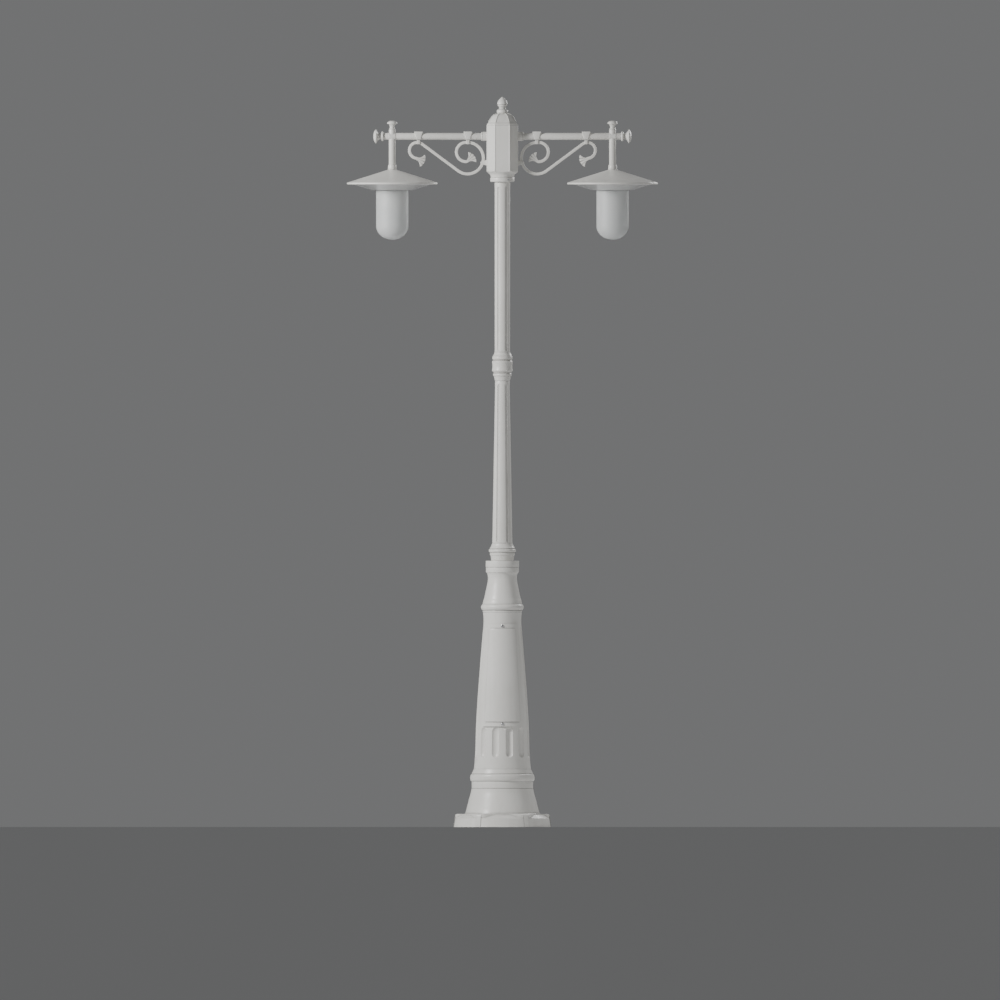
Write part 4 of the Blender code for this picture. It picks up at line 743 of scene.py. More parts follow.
low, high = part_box("fuse_carrier")
middle_y = low.y + 0.0102
fuse = block_of("fuse_holder", (low.x, middle_y, low.z), high, 0.0012)
cut_away(fuse, block_of("fuse_pull", (-0.0078, low.y, low.z + 0.0120),
                        (0.0078, middle_y + 0.004, low.z + 0.0480), 0.0015), keep="UNION")
for rib in range(5):
    z = low.z + 0.0200 + rib * 0.0045
    cut_away(fuse, block_of("grip_groove", (-0.0085, low.y - 0.001, z),
                            (0.0085, low.y + 0.0009, z + 0.0016)))
cut_away(fuse, block_of("carrier_seam", (low.x - 0.001, middle_y - 0.001, low.z + 0.0065),
                        (high.x + 0.001, middle_y + 0.0008, low.z + 0.0072)))
fit(fuse, "post", "moulded_plastic", plastic, "fuse_carrier")

low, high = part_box("earth_stud")
earth = turn_on_lathe(
    "earth_terminal",
    ease([(0.0, 0.0004), (0.0076, 0.0004), (0.0076, 0.0014), (0.0040, 0.0014)], 0.0003)
    + threaded(0.0040, 0.0046, 0.0134, 0.0010, 0.0005)
    + [(0.0030, 0.0138), (0.0, 0.0139)],
    40,
)
clear_selection()
bpy.ops.mesh.primitive_cylinder_add(vertices=6, radius=0.0072, depth=0.0030,
                                    location=(0, 0, 0.0029))
use_modifier(bpy.context.object, "BEVEL", width=0.0003, segments=2, limit_method="ANGLE")
cut_away(earth, bpy.context.object, keep="UNION")
set_down(earth, (0.0, high.y, (low.z + high.z) / 2), (math.pi / 2, 0.0, 0.0))
fit(earth, "post", "zinc_plate", zinc, "earth_stud")


# ---- Pedestal cap ----
# One turned casting closes the pedestal: a flat ring, a full angular bead, a waisted neck and
# a drum with a fine groove. The lower shaft's tenon stands in its bore.

cap = turn_on_lathe(
    "cap_casting",
    ease([(0.0558, 0.6764), (0.0618, 0.6764), (0.0618, 0.6820), (0.0608, 0.6828), (0.0634, 0.6836),
          (0.0660, 0.6872)], 0.0005)
    + [(0.0672, 0.6903), (0.0675, 0.6925), (0.0672, 0.6947), (0.0660, 0.6976)]
    + ease([(0.0660, 0.6976), (0.0634, 0.7010), (0.0618, 0.7016), (0.0622, 0.7026),
            (0.0590, 0.7166)], 0.0005)
    + flow([(0.0586, 0.7172), (0.0558, 0.7270), (0.0516, 0.7470), (0.0476, 0.7660),
            (0.0456, 0.7800), (0.0456, 0.7880),
            (0.0468, 0.7950), (0.0492, 0.8005)], 4)
    + ease([(0.0492, 0.8005), (0.0500, 0.8016), (0.0518, 0.8020), (0.0518, 0.8176),
            (0.0508, 0.8181), (0.0524, 0.8187),
            (0.0524, 0.8384), (0.0284, 0.8384), (0.0284, 0.7740), (0.0244, 0.7740),
            (0.0244, 0.7680)], 0.0007)
    + [(0.0393, 0.7570), (0.0518, 0.7170)],
    128,
)
fit(cap, "post", "powder_coat", coat, "pedestal_cap", crease=28)


# ---- Lower capital ----
# A loose turned ring slides down the shaft and hides the joint between the shaft and the cap.
# A flared foot, a flat band, a half-round bead and a hollow lead up to the shaft.

capital = turn_on_lathe(
    "capital_ring",
    [(0.0284, 0.8390), (0.0352, 0.8390), (0.0356, 0.8396)]
    + flow([(0.0356, 0.8400), (0.0359, 0.8450), (0.0366, 0.8510), (0.0375, 0.8552)], 3)
    + ease([(0.0375, 0.8552), (0.0392, 0.8566), (0.0392, 0.8644), (0.0386, 0.8649)], 0.0004)
    + bead(0.0388, 0.0428, 0.8652, 0.8758)
    + ease([(0.0386, 0.8761), (0.0394, 0.8768), (0.0394, 0.8794)], 0.0003)
    + flow([(0.0392, 0.8798), (0.0368, 0.8826), (0.0347, 0.8868), (0.0330, 0.8918),
            (0.0323, 0.8936)], 3)
    + [(0.0318, 0.8938), (0.0284, 0.8938)],
    112,
)
fit(capital, "post", "powder_coat", coat, "lower_capital", crease=28)


# ---- Lower shaft ----
# A tapered aluminium tube with six round-ended flutes rolled into it. Its smooth tenon runs
# down through the capital into the cap, and the coupling's sleeve sits inside its head.


SHAFT_LOW, SHAFT_HIGH = 0.8942, 1.4052
SHAFT_WIDE, SHAFT_NARROW = 0.0318, 0.0230


def shaft_taper(height):
    """Radius of the lower shaft at a height."""
    return SHAFT_WIDE + (SHAFT_NARROW - SHAFT_WIDE) * (height - SHAFT_LOW) / (SHAFT_HIGH - SHAFT_LOW)


def shaft_flutes(shaft, low, high, radius_at, half_width, depth):
    """Cuts six round-nosed flutes up a shaft, set a twelfth of a turn off its front."""
    size = (half_width**2 + depth**2) / (2 * depth)
    path = []
    for step in range(9):
        height = low + size * 0.62 + (high - low - 1.24 * size) * step / 8
        path.append((radius_at(height) - depth + size, height, size))
    tool = rounded_rod("flute_tool", path, 32)
    for number in range(6):
        cut_away(shaft, copy_of(tool, f"shaft_flute_{number}",
                                (number + 0.5) * math.tau / 6 - math.pi / 2))
    bpy.data.objects.remove(tool, do_unlink=True)


shaft_levels = [0.8948 + 0.0102 * row for row in range(50)]
shaft_rows = [(shaft_taper(level), level) for level in shaft_levels]
lower_shaft = turn_on_lathe(
    "lower_shaft_tube",
    ease([(0.0185, 0.7785), (0.0275, 0.7785), (0.0275, 0.8945), (0.0316, 0.8945)], 0.0006)
    + shaft_rows
    + [(0.0231, 1.4040), (0.0228, 1.4048), (0.0185, 1.4048)],
    112,
)
shaft_flutes(lower_shaft, 0.8985, 1.3940, shaft_taper, 0.0050, 0.0026)
fit(lower_shaft, "post", "powder_coat", coat, "lower_shaft", crease=28)


# ---- Coupling between the shafts ----
# A turned collar of beads and a waisted drum covers the joint. Inside it a plain zinc-plated
# sleeve is pushed half into each shaft, so that the two stand in line.

coupling = turn_on_lathe(
    "coupling_casting",
    [(0.0190, 1.4056), (0.0228, 1.4056)]
    + flow([(0.0231, 1.4060), (0.0236, 1.4072), (0.0246, 1.4105), (0.0253, 1.4138),
            (0.0262, 1.4166), (0.0266, 1.4184)], 3)
    + ease([(0.0266, 1.4184), (0.0264, 1.4192), (0.0272, 1.4198)], 0.0003)
    + bead(0.0272, 0.0294, 1.4204, 1.4294)
    + ease([(0.0270, 1.4298), (0.0274, 1.4310), (0.0298, 1.4345), (0.0322, 1.4364),
            (0.0327, 1.4374)], 0.0004)
    + flow([(0.0327, 1.4384), (0.0320, 1.4424), (0.0314, 1.4470), (0.0312, 1.4515),
            (0.0314, 1.4560), (0.0320, 1.4605),
            (0.0327, 1.4644)], 3)
    + ease([(0.0327, 1.4650), (0.0325, 1.4662), (0.0302, 1.4692), (0.0288, 1.4703),
            (0.0292, 1.4712)], 0.0004)
    + bead(0.0294, 0.0318, 1.4718, 1.4834)
    + ease([(0.0292, 1.4838), (0.0294, 1.4848)], 0.0003)
    + flow([(0.0290, 1.4856), (0.0272, 1.4886), (0.0258, 1.4920), (0.0250, 1.4948)], 3)
    + [(0.0247, 1.4956), (0.0190, 1.4956)],
    112,
)
fit(coupling, "post", "powder_coat", coat, "mid_coupling", crease=28)

low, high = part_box("joint_sleeve")
sleeve = turn_on_lathe(
    "sleeve_tube", ease([(0.0146, low.z), (0.0176, low.z), (0.0176, high.z), (0.0146, high.z),
                         (0.0146, high.z - 0.01)], 0.0006), 48
)
fit(sleeve, "post", "zinc_plate", zinc, "joint_sleeve")


# ---- Upper shaft ----
# A straight fluted tube that carries on from the coupling. Its plain top end is the spigot
# that the hub drops over and turns on.

UPPER_RADIUS = 0.0245
upper_rows = [(UPPER_RADIUS, 1.4966 + 0.0108 * row) for row in range(50)]
upper_shaft = turn_on_lathe(
    "upper_shaft_tube",
    [(0.0185, 1.4963), (0.0243, 1.4963)]
    + upper_rows
    + ease([(UPPER_RADIUS, 2.0400), (UPPER_RADIUS, 2.0818), (0.0185, 2.0818)], 0.0008)
    + [(0.0185, 2.0600)],
    112,
)
shaft_flutes(upper_shaft, 1.4995, 2.0160, lambda height: UPPER_RADIUS, 0.0055, 0.0026)
fit(upper_shaft, "post", "powder_coat", coat, "upper_shaft", crease=28)


# ---- Pole collar ----
# A rounded ring under the hub, cast with it. Two stainless set screws with hexagon sockets
# pass through it and grip the spigot, so that the arms stay where they are turned to.

collar = turn_on_lathe(
    "collar_ring",
    ease([(0.0249, 2.0400), (0.0249, 2.0322), (0.0358, 2.0322)], 0.0005)
    + [(0.0368, 2.0325), (0.0376, 2.0333), (0.0380, 2.0345), (0.0381, 2.0360), (0.0381, 2.0424),
       (0.0380, 2.0440), (0.0376, 2.0452), (0.0368, 2.0460)]
    + ease([(0.0358, 2.0463), (0.0249, 2.0463), (0.0249, 2.0410)], 0.0005),
    112,
)
SCREW_LEVEL = 2.03925
SCREW_BEARINGS = (math.radians(30), math.radians(210))
for number, bearing in enumerate(SCREW_BEARINGS):
    clear_selection()
    bpy.ops.mesh.primitive_cylinder_add(vertices=32, radius=0.0034, depth=0.030,
                                        location=(0, 0, 0.035))
    bore = bpy.context.object
    bpy.ops.object.transform_apply(location=True, rotation=True, scale=True)
    set_down(bore, (0, 0, SCREW_LEVEL), (math.pi / 2, 0, bearing))
    cut_away(collar, bore)
fit(collar, "head", "powder_coat", coat, "pole_collar", crease=30)

for number, bearing in enumerate(SCREW_BEARINGS):
    grub = turn_on_lathe(
        f"grub_screw_{number + 1}",
        [(0.0, 0.0248), (0.0018, 0.0248), (0.0026, 0.0260)]
        + threaded(0.0031, 0.0264, 0.0376, 0.0010, 0.0004)
        + [(0.0030, 0.0382), (0.0026, 0.0386), (0.0, 0.0386)],
        40,
    )
    clear_selection()
    bpy.ops.mesh.primitive_cylinder_add(vertices=6, radius=0.0018, depth=0.0060,
                                        location=(0, 0, 0.0386))
    cut_away(grub, bpy.context.object)
    set_down(grub, (0, 0, SCREW_LEVEL), (math.pi / 2, 0, bearing))
    fit(grub, "head", "stainless_steel", steel, f"set_screw_{number + 1}")


# ---- Hub ----
# An eight-sided hollow casting: a turned foot, a plain box with a round bead on each corner,
# and a stepped cornice. The arms' tubes enter it, and the cables meet inside it.

HUB_HALF, HUB_CUT = 0.0487, 0.0236
ARM_LEVEL = 2.1755


def eight_points(half_width, height):
    """The corners of a square with cut corners, anticlockwise."""
    cut = half_width * HUB_CUT / HUB_HALF
    flat = [(half_width, cut), (cut, half_width), (-cut, half_width), (-half_width, cut)]
    flat += [(-x, -y) for x, y in flat]
    return [(x, y, height) for x, y in flat]


def eight_sided(name, rows):
    """An eight-sided block pulled up through rows of (half-width, height)."""
    size, level = rows[0]
    block = draw_line(name, eight_points(size, level))
    bpy.ops.mesh.select_all(action="SELECT")
    bpy.ops.mesh.edge_face_add()
    for half_width, height in rows[1:]:
        bpy.ops.mesh.extrude_region_move(TRANSFORM_OT_translate={"value": (0, 0, height - level)})
        bpy.ops.transform.resize(value=(half_width / size,) * 2 + (1,),
                                 center_override=(0, 0, height))
        size, level = half_width, height
    close_up()
    return block


hub = eight_sided("hub_casting", [(HUB_HALF, 2.0469), (HUB_HALF, 2.2099)])
foot = turn_on_lathe(
    "hub_foot",
    [(0.0, 2.0469), (0.0366, 2.0469)]
    + flow([(0.0366, 2.0478), (0.0370, 2.0500), (0.0380, 2.0530), (0.0404, 2.0566),
            (0.0434, 2.0592)], 3)
    + [(0.0440, 2.0596), (0.0462, 2.0612), (0.0500, 2.0640), (0.0545, 2.0666), (0.0600, 2.0700),
       (0.0600, 2.2150), (0.0, 2.2150)],
    128,
)
cut_away(hub, foot, keep="INTERSECT")
corner_bearing = math.atan2(HUB_CUT, HUB_HALF)
corner_turns = [side * math.pi / 2 + turn for side in range(4)
                for turn in (-corner_bearing, corner_bearing)]
corner_bead = rounded_rod("corner_bead", [(0.0519, 2.0664 + 0.0238 * step, 0.0028)
                                          for step in range(7)], 20)
for number, bearing in enumerate(corner_turns):
    cut_away(hub, copy_of(corner_bead, f"bead_{number}", bearing), keep="UNION")
bpy.data.objects.remove(corner_bead, do_unlink=True)
cornice = eight_sided(
    "cornice",
    [(0.0450, 2.2080), (0.0476, 2.2088), (0.0476, 2.2100), (0.0484, 2.2102), (0.0487, 2.2106),
     (0.0487, 2.2138), (0.0484, 2.2143), (0.0472, 2.2146), (0.0470, 2.2152), (0.0462, 2.2166),
     (0.0444, 2.2190), (0.0439, 2.2197)],
)
cut_away(hub, cornice, keep="UNION")
cut_away(hub, eight_sided("hub_cavity", [(0.0437, 2.0808), (0.0437, 2.2050), (0.0389, 2.2110),
                                         (0.0389, 2.2300)]))
clear_selection()
bpy.ops.mesh.primitive_cylinder_add(vertices=96, radius=0.0252, depth=0.08, location=(0, 0, 2.06))
cut_away(hub, bpy.context.object)
cut_away(hub, drill(64, 0.0109, 0.12, (0, 0, ARM_LEVEL), TURNED_ALONG_X))
fit(hub, "head", "powder_coat", coat, "hub_body", crease=26)


# ---- Hub dome ----
# An eight-sided cast dome lifts off for wiring. A rounded rib runs up each ridge, and a rim
# under it drops inside the hub's wall.

dome_rows = flow(
    [(0.0437, 2.2201), (0.0432, 2.2216), (0.0414, 2.2252), (0.0384, 2.2300), (0.0342, 2.2362),
     (0.0291, 2.2418), (0.0243, 2.2450), (0.0197, 2.2466)],
    3,
)
dome = eight_sided("dome_casting", [*dome_rows, (0.0160, 2.2471)])


def bent_rod(name, points, thickness):
    """A round rod with closed ends that follows a line of points."""
    rod = draw_line(name, points)
    bpy.ops.object.mode_set(mode="OBJECT")
    bpy.ops.object.convert(target="CURVE")
    rod = bpy.context.object
    rod.data.dimensions = "3D"
    rod.data.bevel_depth, rod.data.bevel_resolution = thickness, 3
    rod.data.use_fill_caps = True
    bpy.ops.object.convert(target="MESH")
    rod = bpy.context.object
    bpy.ops.object.mode_set(mode="EDIT")
    close_up()
    return rod


ridge_share = math.hypot(HUB_CUT, HUB_HALF) / HUB_HALF
ridge_line = [(half * ridge_share - 0.0006, 0.0, height) for half,
              height in dome_rows[1:]] + [(0.0140, 0.0, 2.2462)]
ridge = bent_rod("dome_ridge", ridge_line, 0.0016)
for number, bearing in enumerate(corner_turns):
    cut_away(dome, copy_of(ridge, f"ridge_{number}", bearing), keep="UNION")
bpy.data.objects.remove(ridge, do_unlink=True)
cut_away(dome, eight_sided("dome_plug", [(0.0383, 2.2138), (0.0383, 2.2204)]), keep="UNION")
cut_away(dome, eight_sided("dome_hollow",
                           [(0.0348, 2.2100), (0.0348, 2.2240), (0.0280, 2.2330),
                            (0.0200, 2.2385)]))
fit(dome, "dome", "powder_coat", coat, "hub_dome", crease=26)


# ---- Hub finial ----
# A turned acorn on a threaded stud screws down through the dome: a round foot, a thin neck and
# a pointed nut.

finial = turn_on_lathe(
    "acorn_finial",
    [(0.0, 2.2352), (0.0036, 2.2352)]
    + threaded(0.0040, 2.2355, 2.2465, 0.0012, 0.0005)
    + [(0.0040, 2.2472)]
    + ease([(0.0040, 2.2473), (0.0145, 2.2473), (0.0150, 2.2482), (0.0168, 2.2500)], 0.0004)
    + flow([(0.0173, 2.2508), (0.0179, 2.2530), (0.0179, 2.2556), (0.0170, 2.2580),
            (0.0148, 2.2598), (0.0118, 2.2614),
            (0.0105, 2.2634), (0.0104, 2.2656), (0.0112, 2.2682), (0.0130, 2.2706),
            (0.0147, 2.2722), (0.0152, 2.2738)], 3)
    + ease([(0.0152, 2.2738), (0.0150, 2.2752), (0.0138, 2.2757), (0.0158, 2.2763)], 0.0003)
    + flow([(0.0162, 2.2770), (0.0163, 2.2790), (0.0157, 2.2818), (0.0145, 2.2850),
            (0.0125, 2.2885), (0.0098, 2.2920),
            (0.0065, 2.2954), (0.0030, 2.2984), (0.0008, 2.29975)], 3)
    + [(0.0, 2.29995)],
    80,
)
fit(finial, "dome", "powder_coat", coat, "hub_finial", crease=30)


# ---- Arms ----
# Each arm is a plain tube that starts inside the hub. A flange ring closes the gap at the hub's
# face, and a turned end piece with a bead and a flared disc is pushed into the outer end.

LAMP_AXIS = 0.347
TUBE_RADIUS, TUBE_BORE = 0.01065, 0.00805


def fit_pair(piece, part, body, slot, finish, crease=30):
    """Fits a right-hand piece, and its copy half a turn round the column on the left arm."""
    other = copy_of(piece, piece.name.replace("right_", "left_"), math.pi)
    for made, side in ((piece, "right"), (other, "left")):
        nodes = [f"{side}_{part}"] if part else []
        fit(made, body.format(side=side), slot, finish, *nodes, crease=crease)


def lie_along_arm(piece):
    """Lays a piece turned upright along the arm, with its height measured out from the column."""
    return set_down(piece, (0, 0, ARM_LEVEL), TURNED_ALONG_X)


tube = turn_on_lathe(
    "right_arm_pipe", ease([(TUBE_BORE, 0.0500), (TUBE_BORE, 0.0407), (TUBE_RADIUS, 0.0407),
                            (TUBE_RADIUS, 0.3730), (TUBE_BORE, 0.3730), (TUBE_BORE, 0.0600)],
                            0.0005), 64
)
fit_pair(lie_along_arm(tube), "arm_tube", "head", "powder_coat", coat)

flange = turn_on_lathe(
    "right_arm_flange",
    ease([(0.0108, 0.0560), (0.0108, 0.0490), (0.0140, 0.0490), (0.0140, 0.0618), (0.0133, 0.0622),
          (0.0133, 0.0630), (0.0140, 0.0635),
          (0.0140, 0.0652), (0.0128, 0.0662), (0.0108, 0.0664), (0.0108, 0.0570)], 0.0006),
    64,
)
fit_pair(lie_along_arm(flange), "arm_collar", "head", "powder_coat", coat)

end_piece = turn_on_lathe(
    "right_arm_end",
    [(0.0, 0.3614), (0.0072, 0.3614), (0.0076, 0.3620), (0.0076, 0.3732)]
    + ease([(0.0076, 0.3735), (0.0106, 0.3735), (0.0108, 0.3741)], 0.0002)
    + bead(0.0118, 0.0155, 0.3743, 0.3812)
    + ease([(0.0113, 0.3816), (0.0102, 0.3824)], 0.0002)
    + flow([(0.0098, 0.3832), (0.0096, 0.3850), (0.0100, 0.3878), (0.0114, 0.3906),
            (0.0140, 0.3932), (0.0175, 0.3954), (0.0206, 0.3968)], 3)
    + ease([(0.0212, 0.3972), (0.0218, 0.3978), (0.0218, 0.3996), (0.0210, 0.4004),
            (0.0202, 0.4003)], 0.0004)
    + flow([(0.0198, 0.4006), (0.0180, 0.4022), (0.0140, 0.4042), (0.0090, 0.4056),
            (0.0040, 0.4064), (0.0010, 0.4065)], 3)
    + [(0.0, 0.4065)],
    80,
)
fit_pair(lie_along_arm(end_piece), "end_finial", "head", "powder_coat", coat)


# ---- Stems ----
# A drop pipe hangs from each arm and carries the lamp, and a capped stub stands over it. Both
# are welded to a short cross sleeve round the arm's tube.


def arm_saddle():
    """A cutter along the arm, to notch a stem with."""
    return drill(96, 0.0121, 0.06, (LAMP_AXIS, 0, ARM_LEVEL), TURNED_ALONG_X)


cross = turn_on_lathe(
    "right_cross_sleeve",
    ease([(0.0108, 0.3400), (0.0108, 0.3362), (0.0117, 0.3362), (0.0120, 0.3370), (0.0120, 0.3570),
          (0.0117, 0.3578), (0.0108, 0.3578), (0.0108, 0.3410)], 0.0004),
    80,
)
fit_pair(lie_along_arm(cross), None, "head", "powder_coat", coat)

pipe = turn_on_lathe(
    "right_drop_pipe", ease([(TUBE_BORE, 2.0600), (TUBE_BORE, 2.0576), (TUBE_RADIUS, 2.0576),
                             (TUBE_RADIUS, ARM_LEVEL), (TUBE_BORE, ARM_LEVEL), (TUBE_BORE, 2.0610)],
                             0.0004), 80
)
set_down(pipe, (LAMP_AXIS, 0, 0))
cut_away(pipe, arm_saddle())
fit_pair(pipe, "stem_pipe", "head", "powder_coat", coat)

stub = turn_on_lathe(
    "right_stem_stub",
    [(0.0, ARM_LEVEL), (TUBE_RADIUS, ARM_LEVEL)]
    + ease([(TUBE_RADIUS, 2.1780), (TUBE_RADIUS, 2.1962), (0.0100, 2.1967), (0.0106, 2.1973),
            (0.0103, 2.1982)], 0.0003)
    + flow([(0.0100, 2.1988), (0.0085, 2.2010), (0.0078, 2.2040), (0.0080, 2.2072),
            (0.0092, 2.2106), (0.0110, 2.2134)], 4)
    + ease([(0.0114, 2.2138), (0.0136, 2.2142), (0.0158, 2.2153), (0.0159, 2.2172)], 0.0004)
    + flow([(0.0157, 2.2178), (0.0148, 2.2196), (0.0126, 2.2218), (0.0092, 2.2236),
            (0.0050, 2.2245), (0.0012, 2.2247)], 3)
    + [(0.0, 2.2247)],
    80,
)
set_down(stub, (LAMP_AXIS, 0, 0))
cut_away(stub, arm_saddle())
fit_pair(stub, "stem_cap", "head", "powder_coat", coat)


# ---- Scrolls ----
# A flat bar bent cold into one large and two small curls braces each arm. Each end is forged
# out into a fan leaf with a scalloped edge and chased veins.

BAR_HALF = 0.0045
OUTER_RADIUS, LARGE_RADIUS, INNER_RADIUS = 0.0250, 0.0496, 0.0302
outer_curl, large_arc, inner_curl = (0.2679, 2.1313), (0.1096, 2.1067), (0.1147, 2.1261)


def arc_points(centre, radius, start, end):
    """Points with their travel directions along an arc, one every four degrees."""
    count = max(2, round(abs(end - start) / math.radians(4)))
    sense = 1 if end > start else -1
    made = []
    for step in range(count + 1):
        angle = start + (end - start) * step / count
        point = (centre[0] + radius * math.cos(angle), centre[1] + radius * math.sin(angle))
        made.append((point, (-sense * math.sin(angle), sense * math.cos(angle))))
    return made


def scroll_middle():
    """The bar's middle line, from the outer leaf to the inner one."""
    apart = math.dist(outer_curl, large_arc)
    bearing = math.atan2(large_arc[1] - outer_curl[1], large_arc[0] - outer_curl[0])
    slope = (bearing + math.asin((OUTER_RADIUS + LARGE_RADIUS) / apart)) % math.tau
    quarter = math.pi / 2
    line = arc_points(outer_curl, OUTER_RADIUS, math.radians(-80), slope - quarter)
    line += arc_points(large_arc, LARGE_RADIUS, slope + quarter - math.tau, -3 * quarter)
    return line + arc_points(inner_curl, INNER_RADIUS, quarter, math.radians(-95))


def leaf_places(point, direction, tilt):
    """Turns places along and across a leaf into places beside the arm."""
    heading = math.atan2(direction[1], direction[0]) + tilt

    def place(along, across):
        x = point[0] + along * math.cos(heading) - across * math.sin(heading)
        return (x, point[1] + along * math.sin(heading) + across * math.cos(heading))

    return place


def leaf_outline(place):
    """The leaf's edge, from one side of the bar round to the other: four scallops between two horns."""
    side = flow([(0.0068, 0.0052), (0.0105, 0.0064), (0.0140, 0.0090), (0.0172, 0.0126),
                 (0.0195, 0.0162), (0.0206, 0.0190)], 3)
    fan = []
    for step in range(33):
        across = 1 - 2 * step / 32
        crown = 0.0228 + 0.0072 * (1 - across**2)
        notch = 0.0013 * (1 - abs(math.sin(math.pi * 2 * (across + 1))) ** 0.6)
        fan.append((crown - notch, across * 0.0202))
    return [place(*spot) for spot in side + fan
            + [(along, -across) for along, across in side[::-1]]]


def bar_scroll(name):
    """One scroll: the bar's outline with a leaf at each end, pulled to its depth and chased."""
    line = scroll_middle()
    upper = [(x - dz * BAR_HALF, z + dx * BAR_HALF) for (x, z), (dx, dz) in line]
    lower = [(x + dz * BAR_HALF, z - dx * BAR_HALF) for (x, z), (dx, dz) in line]
    (start, way_in), (end, way_out) = line[0], line[-1]
    outer_place = leaf_places(start, (-way_in[0], -way_in[1]), math.radians(12))
    inner_place = leaf_places(end, way_out, math.radians(-34))
    outline = upper + leaf_outline(inner_place) + lower[::-1] + leaf_outline(outer_place)
    spaced = [outline[0]]
    for spot in outline[1:]:
        if math.dist(spot, spaced[-1]) > 0.0009:
            spaced.append(spot)
    bar = draw_line(name, [(x, -0.0040, z) for x, z in [*spaced, spaced[0]]])
    bpy.ops.mesh.select_all(action="SELECT")
    bpy.ops.mesh.remove_doubles(threshold=1e-6)
    bpy.ops.mesh.edge_face_add()
    bpy.ops.mesh.extrude_region_move(TRANSFORM_OT_translate={"value": (0, 0.0080, 0)})
    close_up()
    use_modifier(
        bar, "BEVEL", width=0.0008, segments=2, limit_method="ANGLE", angle_limit=math.radians(60),
        use_clamp_overlap=False
    )
    for place in (outer_place, inner_place):
        for across in (-0.5, 0.0, 0.5):
            x_one, z_one = place(0.0045, across * 0.0050)
            x_two, z_two = place(0.0285 - 0.0072 * across**2, across * 0.0202)
            for face in (-1, 1):
                vein = bent_rod("vein", [(x_one, face * 0.0048, z_one),
                                         (x_two, face * 0.0039, z_two)], 0.0011)
                cut_away(bar, vein)
    return bar


scroll = bar_scroll("right_bar_scroll")
fit_pair(scroll, "scroll", "head", "powder_coat", coat, crease=34)


# ---- Clamps and lugs ----
# Two tulip-shaped clamps grip each arm's tube, and a fork under each holds the scroll's bar. A
# third fork is cast on a small lug on the hub's face.


def tulip_clamp(name, middle):
    """One clamp, pulled up through rows of (half length, half depth, height)."""
    rows = [(0.0034, 0.0056, 2.1508), (0.0046, 0.0068, 2.1513), (0.0050, 0.0072, 2.1524),
            (0.0050, 0.0072, 2.1640), (0.0060, 0.0082, 2.1648), (0.0072, 0.0100, 2.1654),
            (0.0075, 0.0122, 2.1670), (0.0079, 0.0128, 2.1700),
            (0.0086, 0.0130, 2.1735), (0.0095, 0.0130, 2.1770), (0.0106, 0.0130, 2.1806),
            (0.0118, 0.0130, 2.1842), (0.0129, 0.0129, 2.1872), (0.0135, 0.0127, 2.1892),
            (0.0133, 0.0122, 2.1902), (0.0126, 0.0112, 2.1907)]
    wide, deep, level = rows[0]
    clamp = draw_line(name, [(wide, deep, level), (-wide, deep, level), (-wide, -deep, level),
                             (wide, -deep, level)])
    bpy.ops.mesh.select_all(action="SELECT")
    bpy.ops.mesh.edge_face_add()
    for half_x, half_y, height in rows[1:]:
        bpy.ops.mesh.extrude_region_move(TRANSFORM_OT_translate={"value": (0, 0, height - level)})
        bpy.ops.transform.resize(value=(half_x / wide, half_y / deep, 1),
                                 center_override=(0, 0, height))
        wide, deep, level = half_x, half_y, height
    close_up()
    use_modifier(clamp, "BEVEL", width=0.0016, segments=4, limit_method="ANGLE",
                 angle_limit=math.radians(60))
    set_down(clamp, (middle, 0, 0))
    bore = drill(64, 0.01075, 0.08, (middle, 0, ARM_LEVEL), TURNED_ALONG_X)
    cut_away(clamp, bore, block_of("fork_slot", (middle - 0.02, -0.0043, 2.140),
                                   (middle + 0.02, 0.0043, 2.1611)))
    return clamp


for place_name, middle in (("outer", 0.2640), ("inner", 0.1086)):
    fit_pair(tulip_clamp(f"right_{place_name}_tulip", middle), f"{place_name}_clamp", "head",
             "powder_coat", coat)

lug_level = 2.0926
lug = draw_line("right_hub_lug", [(0.0490, 0.0070, lug_level + 0.0088),
                                  (0.0490, -0.0070, lug_level + 0.0088),
                                  (0.0490, -0.0070, lug_level - 0.0088), (0.0490, 0.0070,
                                      lug_level - 0.0088)])
bpy.ops.mesh.select_all(action="SELECT")
bpy.ops.mesh.edge_face_add()
reach, tall = 0.0490, 0.0088
for out, half in ((0.0510, 0.0084), (0.0545, 0.0074), (0.0590, 0.0058), (0.0640, 0.0042),
                  (0.0675, 0.0032), (0.0692, 0.0022)):
    bpy.ops.mesh.extrude_region_move(TRANSFORM_OT_translate={"value": (out - reach, 0, 0)})
    bpy.ops.transform.resize(value=(1, 1, half / tall), center_override=(out, 0, lug_level))
    reach, tall = out, half
close_up()
use_modifier(lug, "BEVEL", width=0.0010, segments=3, limit_method="ANGLE",
             angle_limit=math.radians(60))
cut_away(lug, block_of("lug_slot", (0.0546, -0.0043, 2.07), (0.0800, 0.0043, 2.12)))
fit_pair(lug, "scroll_lug", "head", "powder_coat", coat)


# ---- Shades ----
# A socket cup is screwed to each drop pipe and holds a spun cone shade with a rolled rim. A
# white enamelled dish closes the shade from below and throws the light down.


def hang_pair(piece, part, body, slot, finish, crease=30):
    """Moves a piece turned round the column out to the lamp's axis, and fits it on both arms."""
    fit_pair(set_down(piece, (LAMP_AXIS, 0, 0)), part, body, slot, finish, crease)


def straight(start, end, steps=24):
    """Points along a straight line, without its start."""
    (x, z), (far_x, far_z) = start, end
    return [(x + (far_x - x) * step / steps, z + (far_z - z) * step / steps)
            for step in range(1, steps + 1)]


